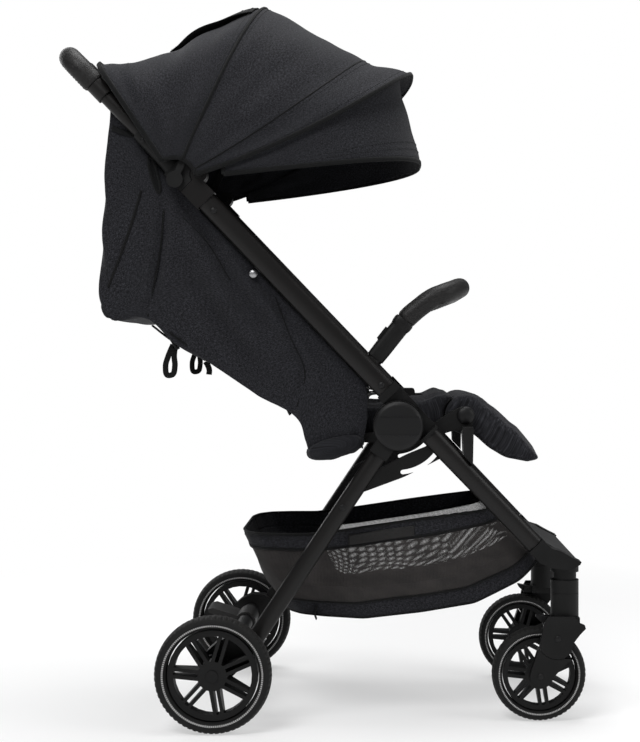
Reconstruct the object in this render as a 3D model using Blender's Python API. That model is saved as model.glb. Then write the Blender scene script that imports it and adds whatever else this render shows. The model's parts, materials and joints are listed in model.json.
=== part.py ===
"""Compact folding stroller, modelled in metres with +Z up.

The stroller faces +X and its left side is +Y. The origin is on the floor, in the middle of its length
and width.
Each moving piece hangs from an empty that stands on its joint's axis.
"""

import math

import bmesh
import bpy
from mathutils import Matrix, Vector

# Frame sizes
HUB_HEIGHT = 0.431
RAKE = math.radians(46.3)
FRAME_OFFSET = 0.0233
FRAME_HALF = 0.200
REAR_LEG_RAKE = math.radians(56.2)
TUBE_WIDTH = 0.031
TUBE_DEPTH = 0.022
FRONT_TUBE_WIDTH = 0.029
FRONT_TUBE_FOOT = 0.027
REAR_TUBE_WIDTH = 0.025
REAR_TUBE_DEPTH = 0.021
GAP = 0.0003
RUNNING = 0.0004
CLEARANCE = 0.0008

# Hub sizes
HUB_RADIUS = 0.036
HUB_DISC = 0.0103
HUB_SOCKET = 0.049
HUB_SOCKET_START = 0.0372
HUB_PIN_RADIUS = 0.007
HUB_CAP_RADIUS = 0.0345
HUB_CAP_DEPTH = 0.008
HUB_BAND_HALF = 0.0135
HUB_BAND_DEPTH = 0.0012

# Upper tube, knuckle and handle lengths, measured along the upper frame line from the hub
UPPER_TUBE_END = 0.4245
KNUCKLE_SEAM = 0.455
KNUCKLE_RISE = 0.0185
KNUCKLE_LUG = 0.012
KNUCKLE_TONGUE = 0.009
KNUCKLE_PIN_RADIUS = 0.0031
KNUCKLE_WIDTH = 0.034
KNUCKLE_DEPTH = 0.025
KNUCKLE_SLEEVE = 0.1037
HANDLE_TUBE = 0.022
HANDLE_CROSS = 0.7125
HANDLE_BEND = 0.038
GRIP_RADIUS = 0.0158
GRIP_REACH = 0.0600
COLLAR_LENGTH = 0.0239
COLLAR_RADIUS = 0.0138
TRIGGER_HALF = 0.046
TRIGGER_TRAVEL = 0.003
BUTTON_HALF = 0.020
BUTTON_SIDE = 0.0045

# Front leg, casting and caster
LEG_SPLAY = 0.028
FRONT_FOOT_RISE = 0.019583
LEAN = 0.0019
POST_FORWARD = 0.061989
POST_INSET = 0.016
POST_RADIUS = 0.0205
POST_TOP = 0.222
POST_SPLIT = 0.2050
POST_RING = 0.186
FORK_SHOULDER = 0.150
PIVOT_TRAIL = 0.0128
PIVOT_HEIGHT = 0.123
SEAM_RADIUS = 0.030
CASTER_TRAIL = 0.038
FORK_PLATE = 0.0145
FORK_CLEARANCE = 0.0006
SWING_PLATE = 0.0072

STEM_RADIUS = 0.006
STEM_TOP = 0.214
FORK_BRIDGE = 0.1395
LOCK_HALF = 0.006
LOCK_PIN_BACK = 0.0265
LOCK_PIN_Z = 0.1462

# Wheels
REAR_WHEEL_RADIUS = 0.083
REAR_WHEEL_WIDTH = 0.035
REAR_WHEEL_OUTSET = 0.040
REAR_AXLE_BACK = 0.0275
REAR_HUB_HALF = 0.0165
FRONT_HUB_HALF = 0.0150
FRONT_WHEEL_RADIUS = 0.0685
FRONT_WHEEL_WIDTH = 0.030
AXLE_RADIUS = 0.005
AXLE_CAP = 0.0085
SPOKES = 7
TYRE_STEPS = 38
TYRE_BEAD = 0.775
RIM_OPENING = 0.665
WHEEL_HUB_RADIUS = 0.0208
SPOKE_TURN = math.radians(22)
SPOKE_INNER = 0.0026
SPOKE_OUTER = 0.0076

# Rear axle and brake
BEAM_FORWARD = 0.020
BEAM_RISE = 0.022
BEAM_RADIUS = 0.012
FOOT_RADIUS = 0.025
FOOT_DEPTH = 0.027
BRAKE_TEETH = 12
BRAKE_PIN_ANGLE = math.radians(90)
BRAKE_RING_OUTER = 0.0245
BRAKE_RING_ROOT = 0.0155
BRAKE_RING_DEPTH = 0.0100
BRAKE_PIN_RADIUS = 0.0022
BRAKE_TRAVEL = 0.005
PEDAL_Y = 0.105

# Seating
SEAT_INSET = 0.029
SEAT_RAIL_WIDTH = 0.020
SEAT_CLEARANCE = 0.003
SEAT_REAR = -0.0635
SEAT_FRONT = 0.0660
SEAT_TILT = math.radians(6.8)
BOARD_DEPTH = 0.006
SLING_INSET = 0.0132
SLING_WALL = 0.003
SLING_EDGE = -0.0165
SLING_BULGE = 0.006
SLING_SAG = 0.004
SLING_START_X = -0.1405
SLING_START_RISE = 0.003
CALF_HINGE_X = 0.098
CALF_HINGE_RISE = 0.013
CALF_ROLL = 0.029
CALF_PIN_RADIUS = 0.004
BACK_ANGLE = math.radians(145.7)
BACK_START = 0.012
BACK_LENGTH = 0.226
BACK_INSET = 0.014
BACK_BOARD = 0.006
BACK_PAD = 0.022

# Arm bar
ARM_INSET = 0.028
ARM_BAR_RADIUS = 0.0085
ARM_GRIP_RADIUS = 0.0130
ARM_ANGLE = math.radians(51.7)
ARM_START = -0.022
ARM_SOCKET = 0.014
ARM_SOCKET_RADIUS = 0.0122
ARM_STRAIGHT = 0.079
ARM_END_X = 0.0915
ARM_END_RISE = 0.199
ARM_BEND = 0.045
ARM_COLLAR = (0.024, 0.058)
ARM_COLLAR_RADIUS = 0.0135
ARM_ROOT_T = 0.0913
ARM_ROOT_N = 0.0132
ARM_TURN_X = 0.036
ARM_TURN_RISE = 0.175
ARM_BUTTON_TRAVEL = 0.003

# Canopy
CANOPY_T = 0.4727
CANOPY_N = -0.011
CANOPY_OUTSET = 0.0235
CANOPY_CLOTH = 0.0025
CANOPY_START = 0.030
VISOR_START = 0.070
REAR_ROOF = ((124.0, 0.2140, 6.0), (117.5, 0.2000, 5.4), (111.0, 0.1940, 4.8), (101.0, 0.1965, 4.0),
             (91.0, 0.2090, 3.4),
             (77.4, 0.2510, 2.9), (67.8, 0.3015, 2.5))
MAIN_BOW = (65.6, 0.3030, 2.5)
FRONT_ROOF = ((66.4, 0.3030, 2.5), (58.7, 0.3030, 2.5), (49.8, 0.3090, 2.5), (41.5, 0.3225, 2.5),
              (33.9, 0.3430, 2.5),
              (27.9, 0.3850, 2.5))
VISOR = ((29.3, 0.3676, 2.5), (24.0, 0.3570, 2.6), (15.0, 0.3530, 2.8), (7.0, 0.3570, 2.9))
VISOR_INSET = 0.0036

BOW_DEPTH = 0.0025
BOW_WIDTH = 0.010
BOW_SHRINK = 0.0040

# Basket and buckle
BASKET_INSET = 0.038
BASKET_TAPER = 0.017
BASKET_WALL = 0.0025
STRAP_DROP = 0.169
FRONT_STRAP_T = 0.1900
STRAP_REACH = 0.0110
STRAP_INSET = 0.0055
BUCKLE_X = 0.002
BUCKLE_RISE = 0.0333
BUCKLE_DEPTH = 0.015
BUCKLE_TRAVEL = 0.0025

# Fold stay
STAY_INSET = 0.0245
STAY_DEPTH = 0.004
STAY_T = 0.067
STAY_N = -0.006
STAY_PIN_RADIUS = 0.003
STAY_LEG_T = 0.110
FRONT_FOLD = math.radians(51)


# Places that follow from the sizes above. The hub is the centre of the side view until the very end.
SIDES = (("right", -1), ("left", 1))
Y_AXIS = Vector((0, 1, 0))

FRONT_FOOT_HALF = FRAME_HALF - LEG_SPLAY
POST_HALF = FRONT_FOOT_HALF - POST_INSET
FORK_INNER = POST_HALF + FRONT_WHEEL_WIDTH / 2 + FORK_CLEARANCE
REAR_WHEEL_HALF = FRAME_HALF + REAR_WHEEL_OUTSET
SEAT_RAIL_OUT = FRAME_HALF - SEAT_INSET
SEAT_RAIL_IN = SEAT_RAIL_OUT - SEAT_RAIL_WIDTH
SEAT_HALF = SEAT_RAIL_IN - SEAT_CLEARANCE
BACK_HALF = SEAT_HALF - BACK_INSET
SLING_HALF = FRAME_HALF - SLING_INSET
ARM_HALF = FRAME_HALF - ARM_INSET
CANOPY_HALF = FRAME_HALF + CANOPY_OUTSET
BASKET_RIM_HALF = FRAME_HALF - BASKET_INSET
BASKET_LOW_HALF = BASKET_RIM_HALF - BASKET_TAPER
STAY_HALF = FRAME_HALF - STAY_INSET

UPPER_KNUCKLE_END = KNUCKLE_SEAM + KNUCKLE_SLEEVE
GRIP_START = HANDLE_CROSS - GRIP_REACH
COLLAR_START = GRIP_START - COLLAR_LENGTH
FRONT_TUBE_END = (HUB_HEIGHT - POST_TOP - FRONT_FOOT_RISE) / math.sin(RAKE)
POST_X = FRONT_TUBE_END * math.cos(RAKE) + POST_FORWARD
SLING_START = (SLING_START_X, HUB_HEIGHT + SLING_START_RISE)
ARM_END = (ARM_END_X, HUB_HEIGHT + ARM_END_RISE)
ARM_TURN = (ARM_TURN_X, HUB_HEIGHT + ARM_TURN_RISE)
STRAP_Z = HUB_HEIGHT - STRAP_DROP
BUCKLE = (BUCKLE_X, HUB_HEIGHT + BUCKLE_RISE)


class Bar:
    """A straight line in side view. Distance t runs along it and n towards its upper side."""

    def __init__(self, start, angle, upper):
        self.start = start
        self.along = (math.cos(angle), math.sin(angle))
        self.across = (-upper * math.sin(angle), upper * math.cos(angle))

    def at(self, t, n=0.0):
        """Return the side view point (x, z) at t and n."""
        x = self.start[0] + self.along[0] * t + self.across[0] * n
        z = self.start[1] + self.along[1] * t + self.across[1] * n
        return x, z

    def point(self, t, n, y):
        """Return the same point in space at the given y."""
        x, z = self.at(t, n)
        return Vector((x, y, z))

    def outline(self, pairs):
        """Turn a list of (t, n) into side view points."""
        return [self.at(t, n) for t, n in pairs]


def from_hub(*pairs):
    """Side view points whose heights are counted from the hub's centre."""
    return [(x, HUB_HEIGHT + rise) for x, rise in pairs]


HUB = (0.0, HUB_HEIGHT)
FRAME_FOOT = (FRAME_OFFSET * math.sin(RAKE), HUB_HEIGHT + FRAME_OFFSET * math.cos(RAKE))
UPPER = Bar(FRAME_FOOT, math.pi - RAKE, -1)
FRONT = Bar(FRAME_FOOT, -RAKE, 1)
REAR = Bar(HUB, math.pi + REAR_LEG_RAKE, -1)

FLAT = math.cos(math.pi / TYRE_STEPS)
REAR_AXLE_Z = REAR_WHEEL_RADIUS * FLAT
REAR_AXLE_X = -(HUB_HEIGHT - REAR_AXLE_Z) / math.tan(REAR_LEG_RAKE) - REAR_AXLE_BACK
FRONT_AXLE = (POST_X - CASTER_TRAIL, FRONT_WHEEL_RADIUS * FLAT)
SWING_PIVOT = (POST_X - PIVOT_TRAIL, PIVOT_HEIGHT)
LOCK_PIN = (POST_X - LOCK_PIN_BACK, LOCK_PIN_Z)
BEAM = (REAR_AXLE_X + BEAM_FORWARD, REAR_AXLE_Z + BEAM_RISE)
KNUCKLE_PIN = UPPER.at(KNUCKLE_SEAM + GAP, KNUCKLE_RISE)
CANOPY_PIN = UPPER.at(CANOPY_T, CANOPY_N)
CALF_PIN = (CALF_HINGE_X, HUB_HEIGHT + CALF_HINGE_RISE)
BACK = Bar(SLING_START, BACK_ANGLE, -1)
BACK_PIN = BACK.at(BACK_START, SLING_WALL + BACK_BOARD / 2 + GAP)

# The origin is half way between the grip's back and the front wheels' front.
HANDLE_BACK = UPPER.at(HANDLE_CROSS, 0)[0] - GRIP_RADIUS - 0.0015
WHEEL_FRONT = FRONT_AXLE[0] + FRONT_WHEEL_RADIUS
CENTRE_X = (HANDLE_BACK + WHEEL_FRONT) / 2


# Mesh helpers

def clear_scene():
    """Remove every object of the file that is open."""
    for old in list(bpy.data.objects):
        bpy.data.objects.remove(old, do_unlink=True)


def arc(centre, radius, start, end, steps):
    """Points on an arc in side view, angles in radians."""
    points = []
    for i in range(steps + 1):
        a = start + (end - start) * i / steps
        points.append((centre[0] + radius * math.cos(a), centre[1] + radius * math.sin(a)))
    return points


def circle(centre, radius, steps=24):
    """A closed round outline in side view."""
    return arc(centre, radius, 0, 2 * math.pi, steps)[:-1]


def rounded(points, radius, steps=3):
    """Replace each corner of a closed outline by an arc of about the given radius."""
    out = []
    count = len(points)
    for i in range(count):
        here = Vector(points[i])
        back = Vector(points[i - 1]) - here
        ahead = Vector(points[(i + 1) % count]) - here
        cut = min(radius, back.length * 0.45, ahead.length * 0.45)
        a = here + back.normalized() * cut
        b = here + ahead.normalized() * cut
        for k in range(steps + 1):
            u = k / steps
            out.append(tuple(a * (1 - u) ** 2 + here * 2 * u * (1 - u) + b * u ** 2))
    return out


def prism(outline, y0, y1):
    """Extrude a side view outline from y0 to y1."""
    bm = bmesh.new()
    low, high = min(y0, y1), max(y0, y1)
    face = bm.faces.new([bm.verts.new((x, low, z)) for x, z in outline])
    grown = bmesh.ops.extrude_face_region(bm, geom=[face])
    moved = [v for v in grown["geom"] if isinstance(v, bmesh.types.BMVert)]
    bmesh.ops.translate(bm, verts=moved, vec=(0, high - low, 0))
    bmesh.ops.recalc_face_normals(bm, faces=bm.faces)
    return bm


def loft(rings, close=False):
    """Skin a list of rings that have equal point counts, with flat ends unless the rings close up."""
    bm = bmesh.new()
    rows = [[bm.verts.new(p) for p in ring] for ring in rings]
    count = len(rows[0])
    pairs = list(zip(rows, rows[1:]))
    if close:
        pairs.append((rows[-1], rows[0]))
    for a, b in pairs:
        for i in range(count):
            j = (i + 1) % count
            bm.faces.new((a[i], a[j], b[j], b[i]))
    if not close:
        bm.faces.new(rows[0][::-1])
        bm.faces.new(rows[-1])
    bmesh.ops.recalc_face_normals(bm, faces=bm.faces)
    return bm


def oval(width, depth, count=14, power=2.4):
    """A rounded section: width lies across the side view, depth along y."""
    pairs = []
    for i in range(count):
        a = 2 * math.pi * (i + 0.5) / count
        c, s = math.cos(a), math.sin(a)
        x = math.copysign(abs(c) ** (2 / power), c) * width / 2
        y = math.copysign(abs(s) ** (2 / power), s) * depth / 2
        pairs.append((x, y))
    return pairs


def frames(path, first):
    """Carry a cross direction along a path so that the section doesn't twist."""
    found = []
    across = first.normalized()
    last = len(path) - 1
    for i, p in enumerate(path):
        ahead = path[min(i + 1, last)] - path[max(i - 1, 0)]
        ahead.normalize()
        across = (across - ahead * across.dot(ahead)).normalized()
        found.append((p, across, ahead.cross(across)))
    return found


def sweep_rings(path, section, first):
    """Rings of one section, or of one section for each point, along a path."""
    many = isinstance(section[0][0], (tuple, list))
    rings = []
    for i, (p, u, v) in enumerate(frames(path, first)):
        pairs = section[i] if many else section
        rings.append([p + u * a + v * b for a, b in pairs])
    return rings


def sweep(path, section, first):
    """A solid bar along a path."""
    return loft(sweep_rings(path, section, first))


def sleeve(path, outer, inner, first):
    """A tube wall along a path: outer skin there, inner skin back."""
    rings = sweep_rings(path, outer, first) + sweep_rings(path, inner, first)[::-1]
    return loft(rings, close=True)


def turn(profile, centre, steps=24):
    """Revolve a closed profile of (radius, y) round an axis along Y through centre."""
    bm = bmesh.new()
    x, z = centre
    verts = [bm.verts.new((x + r, y, z)) for r, y in profile]
    edges = [bm.edges.new((verts[i], verts[(i + 1) % len(verts)])) for i in range(len(verts))]
    bmesh.ops.spin(
        bm, geom=verts + edges, cent=(x, 0, z), axis=(0, 1, 0), dvec=(0, 0, 0),
        angle=2 * math.pi, steps=steps, use_merge=True, use_duplicate=False)
    bmesh.ops.remove_doubles(bm, verts=bm.verts, dist=1e-6)
    flat = [e for e in bm.edges if not e.link_faces]
    bmesh.ops.delete(bm, geom=flat, context="EDGES")
    bmesh.ops.dissolve_degenerate(bm, dist=1e-7, edges=bm.edges)
    bmesh.ops.recalc_face_normals(bm, faces=bm.faces)
    return bm


def drum(centre, radius, y0, y1, steps=24):
    """A round bar along Y."""
    return prism(circle(centre, radius, steps), y0, y1)


def upright(x, y, radius, z0, z1, steps=24):
    """A round bar along Z."""
    bm = bmesh.new()
    bmesh.ops.create_cone(
        bm, cap_ends=True, segments=steps, radius1=radius, radius2=radius, depth=z1 - z0,
        matrix=Matrix.Translation((x, y, (z0 + z1) / 2)))
    return bm


def mirrored(bm, side):
    """Turn a shape drawn for the left side into the one for the given side."""
    if side < 0:
        bmesh.ops.scale(bm, vec=(1, -1, 1), verts=bm.verts)
        bmesh.ops.reverse_faces(bm, faces=bm.faces)
    return bm


# Scene helpers

MATERIALS = {}
BODIES = {}


def material(name, colour, roughness, metallic=0.0):
    """Make one Principled material and remember it by name."""
    made = bpy.data.materials.new(name)
    made.use_nodes = True
    shader = made.node_tree.nodes["Principled BSDF"]
    shader.inputs["Base Color"].default_value = (*colour, 1.0)
    shader.inputs["Roughness"].default_value = roughness
    shader.inputs["Metallic"].default_value = metallic
    made.diffuse_color = (*colour, 1.0)
    MATERIALS[name] = made


def body(name, pin, y=0.0, parent=None):
    """Stand an empty on a joint's axis. Everything that moves with that joint hangs from it."""
    empty = bpy.data.objects.new("axis_" + name, None)
    bpy.context.scene.collection.objects.link(empty)
    place = Vector((pin[0] - CENTRE_X, y, pin[1]))
    if parent:
        empty.parent = BODIES[parent][0]
        empty.location = place - BODIES[parent][1]
    else:
        empty.location = place
    BODIES[name] = (empty, place)


def mesh_object(name, bm, parent):
    """Put a shape that is drawn round the hub into an object whose origin is on its body's axis."""
    empty, place = BODIES[parent]
    bmesh.ops.translate(bm, verts=bm.verts, vec=Vector((-CENTRE_X, 0, 0)) - place)
    data = bpy.data.meshes.new(name)
    bm.to_mesh(data)
    bm.free()
    made = bpy.data.objects.new(name, data)
    bpy.context.scene.collection.objects.link(made)
    made.parent = empty
    return made


def operand(target, bm, parent, operation):
    """Join or cut a second shape into an object with a hidden helper."""
    helper = mesh_object(target.name + "." + operation.lower(), bm, parent)
    helper.hide_render = True
    helper.display_type = "WIRE"
    step = target.modifiers.new(operation.title(), "BOOLEAN")
    step.operation = operation
    step.solver = "EXACT"
    step.object = helper


def add(name, bm, parent, finish, joins=(), cuts=(), bevel=0.0, smooth=math.radians(35)):
    """Make one named piece from a shape, what is joined to it and what is cut out of it."""
    made = mesh_object(name, bm, parent)
    made.data.materials.append(MATERIALS[finish])
    made.data.shade_smooth()
    made.data.set_sharp_from_angle(angle=smooth)
    if bevel:
        soft = made.modifiers.new("Bevel", "BEVEL")
        soft.width = bevel
        soft.segments = 1
        soft.angle_limit = math.radians(40)
    for extra in joins:
        operand(made, extra, parent, "UNION")
    for tool in cuts:
        operand(made, tool, parent, "DIFFERENCE")
    return made


def skin_object(name, bm, parent, finish, thickness, joins=()):
    """Make one named sheet piece: an open surface given its wall by a Solidify modifier."""
    made = mesh_object(name, bm, parent)
    made.data.materials.append(MATERIALS[finish])
    made.data.shade_smooth()
    wall = made.modifiers.new("Wall", "SOLIDIFY")
    wall.thickness = thickness
    wall.offset = -1.0
    wall.use_even_offset = True
    for extra in joins:
        operand(made, extra, parent, "UNION")
    return made


# Sub-assemblies

def layer(index):
    """Y range of hub disc 0, 1 or 2, from the inner one outwards."""
    low = FRAME_HALF - 1.5 * HUB_DISC - RUNNING + index * (HUB_DISC + RUNNING)
    return low, low + HUB_DISC


def hub_piece(line, offset, width, index, end):
    """One third of the folding hub: a disc in its own layer, and a full-depth socket for its tube."""
    y0, y1 = layer(index)
    half = width / 2 + 0.0016
    depth = TUBE_DEPTH / 2 + 0.0018
    disc = drum(HUB, HUB_RADIUS, y0, y1, 28)
    neck = prism(line.outline([(0, offset - half), (end, offset - half), (end, offset + half),
                               (0, offset + half)]), y0, y1)
    block = prism(rounded(line.outline([
        (HUB_SOCKET_START, offset - half), (end, offset - half),
        (end, offset + half), (HUB_SOCKET_START, offset + half)]), 0.001, 1),
        FRAME_HALF - depth, FRAME_HALF + depth)
    return disc, neck, block


def hub_bore():
    """Cutter for the pivot pin's hole."""
    return drum(HUB, HUB_PIN_RADIUS + RUNNING, FRAME_HALF - 0.03, FRAME_HALF + 0.03, 16)


def build_hubs():
    """Folding hubs: three interleaved discs on one pin, under a round cap."""
    lower, upper = layer(0)[0], layer(2)[1]
    for name, side in SIDES:
        for label, line, offset, width, index, end, owner in (
                ("front_hub_", FRONT, 0.0, FRONT_TUBE_WIDTH, 0, HUB_SOCKET - 0.007, "front_frame"),
                ("upper_hub_", UPPER, 0.0, TUBE_WIDTH, 1, HUB_SOCKET, "upper_frame"),
                ("rear_hub_", REAR, 0.0, REAR_TUBE_WIDTH, 2, HUB_SOCKET + 0.003, "rear_frame")):
            disc, neck, block = hub_piece(line, offset, width, index, end)
            add(label + name, mirrored(disc, side), owner, "black_plastic",
                joins=(mirrored(neck, side), mirrored(block, side)), cuts=(mirrored(hub_bore(), side),))
        head = upper + RUNNING
        profile = [
            (0, lower - 0.004), (HUB_PIN_RADIUS + 0.004, lower - 0.004), (HUB_PIN_RADIUS + 0.004,
                                                                          lower - RUNNING),
            (HUB_PIN_RADIUS, lower - RUNNING), (HUB_PIN_RADIUS, head), (HUB_CAP_RADIUS, head),
            (HUB_CAP_RADIUS, head + HUB_CAP_DEPTH * 0.55), (HUB_CAP_RADIUS - 0.003,
                                                            head + HUB_CAP_DEPTH * 0.9),
            (HUB_CAP_RADIUS - 0.006, head + HUB_CAP_DEPTH), (0, head + HUB_CAP_DEPTH)]
        band = prism([
            (-HUB_RADIUS, HUB_HEIGHT - HUB_BAND_HALF), (HUB_RADIUS, HUB_HEIGHT - HUB_BAND_HALF),
            (HUB_RADIUS, HUB_HEIGHT + HUB_BAND_HALF), (-HUB_RADIUS, HUB_HEIGHT + HUB_BAND_HALF)],
            head + HUB_CAP_DEPTH - HUB_BAND_DEPTH, head + HUB_CAP_DEPTH + 0.01)
        add("hub_cap_" + name, mirrored(turn(profile, HUB, 32), side), "rear_frame", "gloss_black",
            cuts=(mirrored(band, side),))


def front_half(t):
    """Distance of the front leg's centre line from the middle plane."""
    share = max(0.0, (t - HUB_SOCKET) / (FRONT_TUBE_END - HUB_SOCKET))
    return FRAME_HALF + (FRONT_FOOT_HALF - FRAME_HALF) * share


def build_tubes():
    """Front legs, rear legs and upper tubes of oval section."""
    for name, side in SIDES:
        start = HUB_SOCKET - 0.007 + GAP
        ts = (start, HUB_SOCKET, 0.16, FRONT_TUBE_END)
        path = [FRONT.point(t, 0, front_half(t)) for t in ts]
        sections = []
        for t in ts:
            share = (t - start) / (FRONT_TUBE_END - start)
            sections.append(oval(FRONT_TUBE_WIDTH + (FRONT_TUBE_FOOT - FRONT_TUBE_WIDTH) * share, TUBE_DEPTH))
        across = Vector((FRONT.across[0], 0, FRONT.across[1]))
        add("front_leg_" + name, mirrored(sweep(path, sections, across), side), "front_frame", "satin_frame",
            joins=[mirrored(shape, side) for shape in stay_pin()])

        path = [UPPER.point(HUB_SOCKET + GAP, 0, FRAME_HALF), UPPER.point(UPPER_TUBE_END, 0, FRAME_HALF)]
        across = Vector((UPPER.across[0], 0, UPPER.across[1]))
        tube = sweep(path, oval(TUBE_WIDTH, TUBE_DEPTH), across)
        add("upper_tube_" + name, mirrored(tube, side), "upper_frame", "satin_frame",
            joins=[mirrored(shape, side) for shape in lower_knuckle() + arm_socket()],
            cuts=[mirrored(shape, side) for shape in lower_knuckle_cuts() + arm_socket_cuts()])

        path = [REAR.point(HUB_SOCKET + 0.003 + GAP, 0, FRAME_HALF),
                REAR.point(rear_leg_end(), 0, FRAME_HALF)]
        across = Vector((REAR.across[0], 0, REAR.across[1]))
        add("rear_leg_" + name, mirrored(sweep(path, oval(REAR_TUBE_WIDTH, REAR_TUBE_DEPTH), across), side),
            "rear_frame", "satin_frame")


def rear_leg_end():
    """Length of the rear leg from the hub to its foot."""
    return (HUB_HEIGHT - REAR_AXLE_Z - 0.040) / math.sin(REAR_LEG_RAKE)


def knuckle_block(t0, t1):
    """The box part of a knuckle fitting between two lengths along the frame line."""
    half = KNUCKLE_WIDTH / 2
    depth = KNUCKLE_DEPTH / 2
    corners = UPPER.outline([(t0, -half), (t1, -half), (t1, half), (t0, half)])
    return prism(corners, FRAME_HALF - depth, FRAME_HALF + depth)


def knuckle_web(towards, y0, y1):
    """The web that ties a hinge ear to its fitting, on one side of the seam."""
    near = KNUCKLE_SEAM + GAP + towards * GAP
    far = KNUCKLE_SEAM + GAP + towards * KNUCKLE_LUG
    return prism(UPPER.outline([(near, 0.0), (far, 0.0), (far, KNUCKLE_RISE), (near, KNUCKLE_RISE)]), y0, y1)


def knuckle_disc(radius, y0, y1, steps=20):
    """A round shape on the knuckle pin's axis."""
    return drum(KNUCKLE_PIN, radius, y0, y1, steps)


def lower_knuckle():
    """Solids of the upper tube's end fitting, with its pair of hinge ears, before the slot is cut."""
    low, high = FRAME_HALF - KNUCKLE_DEPTH / 2, FRAME_HALF + KNUCKLE_DEPTH / 2
    return (knuckle_block(UPPER_TUBE_END - 0.004, KNUCKLE_SEAM),
            knuckle_web(-1, low, high), knuckle_disc(KNUCKLE_LUG, low, high))


def lower_knuckle_cuts():
    """Slot for the tongue and hole for the pin."""
    half = KNUCKLE_TONGUE / 2 + RUNNING
    return (knuckle_disc(KNUCKLE_LUG + CLEARANCE, FRAME_HALF - half, FRAME_HALF + half, 24),
            knuckle_disc(KNUCKLE_PIN_RADIUS + RUNNING, FRAME_HALF - 0.03, FRAME_HALF + 0.03, 12))


def upper_knuckle():
    """Solids of the handle's lower fitting: box, middle tongue, pin with heads, and canopy boss."""
    tongue = KNUCKLE_TONGUE / 2
    low, high = FRAME_HALF - tongue, FRAME_HALF + tongue
    depth = KNUCKLE_DEPTH / 2
    boss = drum(CANOPY_PIN, 0.008, FRAME_HALF, CANOPY_HALF - BOW_SHRINK - BOW_DEPTH - GAP, 16)
    pin = knuckle_disc(KNUCKLE_PIN_RADIUS, FRAME_HALF - depth - 0.002, FRAME_HALF + depth + 0.002, 12)
    heads = [knuckle_disc(0.0055, FRAME_HALF + s * (depth + RUNNING), FRAME_HALF + s * (depth + 0.0022), 12)
             for s in (-1, 1)]
    return [knuckle_web(1, low, high), knuckle_disc(KNUCKLE_LUG, low, high), boss, pin] + heads


def upper_knuckle_cuts():
    """Pockets beside the tongue that the lower ears stand in."""
    tongue = KNUCKLE_TONGUE / 2
    return [knuckle_disc(KNUCKLE_LUG + CLEARANCE, FRAME_HALF + s * tongue, FRAME_HALF + s * 0.03, 24)
            for s in (-1, 1)]


def handle_path(start):
    """Centre line of the handle bar: up one side, round a bend, across, and down the other side."""
    reach = HANDLE_CROSS - HANDLE_BEND
    points = [(start, -FRAME_HALF), (COLLAR_START, -FRAME_HALF), (GRIP_START, -FRAME_HALF)]
    for i in range(7):
        a = math.pi / 2 * i / 6
        points.append((reach + HANDLE_BEND * math.sin(a), -FRAME_HALF + HANDLE_BEND * (1 - math.cos(a))))
    points.append((HANDLE_CROSS, -TRIGGER_HALF - GAP))
    half = [UPPER.point(t, 0, y) for t, y in points]
    return half + [Vector((p.x, -p.y, p.z)) for p in reversed(half)]


def build_handle():
    """Handle: knuckle fittings, the bent bar, two padded grips, collars and the folding trigger."""
    across = Vector((UPPER.across[0], 0, UPPER.across[1]))
    for name, side in SIDES:
        block = knuckle_block(KNUCKLE_SEAM + 2 * GAP, KNUCKLE_SEAM + 0.034)
        rings = sweep_rings(
            [UPPER.point(KNUCKLE_SEAM + 0.030, 0, FRAME_HALF),
             UPPER.point(KNUCKLE_SEAM + 0.045, 0, FRAME_HALF),
             UPPER.point(UPPER_KNUCKLE_END, 0, FRAME_HALF)],
            [oval(0.033, 0.0245), oval(0.0285, 0.0242), oval(0.0262, 0.0240)], across)
        joins = [loft(rings)]
        made = add("upper_knuckle_" + name, mirrored(block, side), "handle", "black_plastic",
                   joins=[mirrored(shape, side) for shape in joins],
                   cuts=[mirrored(shape, side) for shape in upper_knuckle_cuts()])
        for shape in upper_knuckle():
            operand(made, mirrored(shape, side), "handle", "UNION")
    path = handle_path(UPPER_KNUCKLE_END + GAP)
    round_bar = oval(HANDLE_TUBE, HANDLE_TUBE, 12, 2.0)
    add("handle_bar", sweep(path, round_bar, across), "handle", "satin_frame",
        joins=[mirrored(drum_collar(), side) for name, side in SIDES])
    mid = len(path) // 2
    for name, side in SIDES:
        grip_path = [p.copy() for p in path[2:mid]]
        inner = oval(HANDLE_TUBE + 2 * GAP, HANDLE_TUBE + 2 * GAP, 12, 2.0)
        outer = oval(2 * GRIP_RADIUS, 2 * GRIP_RADIUS, 12, 2.0)
        add("handle_grip_" + name, mirrored(sleeve(grip_path, outer, inner, across), -side), "handle",
            "leatherette")
    build_trigger(across)


def drum_collar():
    """The collar at the grip's lower end, a short thick stretch of the bar."""
    path = [UPPER.point(COLLAR_START, 0, FRAME_HALF), UPPER.point(GRIP_START - GAP, 0, FRAME_HALF)]
    return sweep(path, oval(2 * COLLAR_RADIUS, 2 * COLLAR_RADIUS, 14, 2.0),
                 Vector((UPPER.across[0], 0, UPPER.across[1])))


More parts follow.
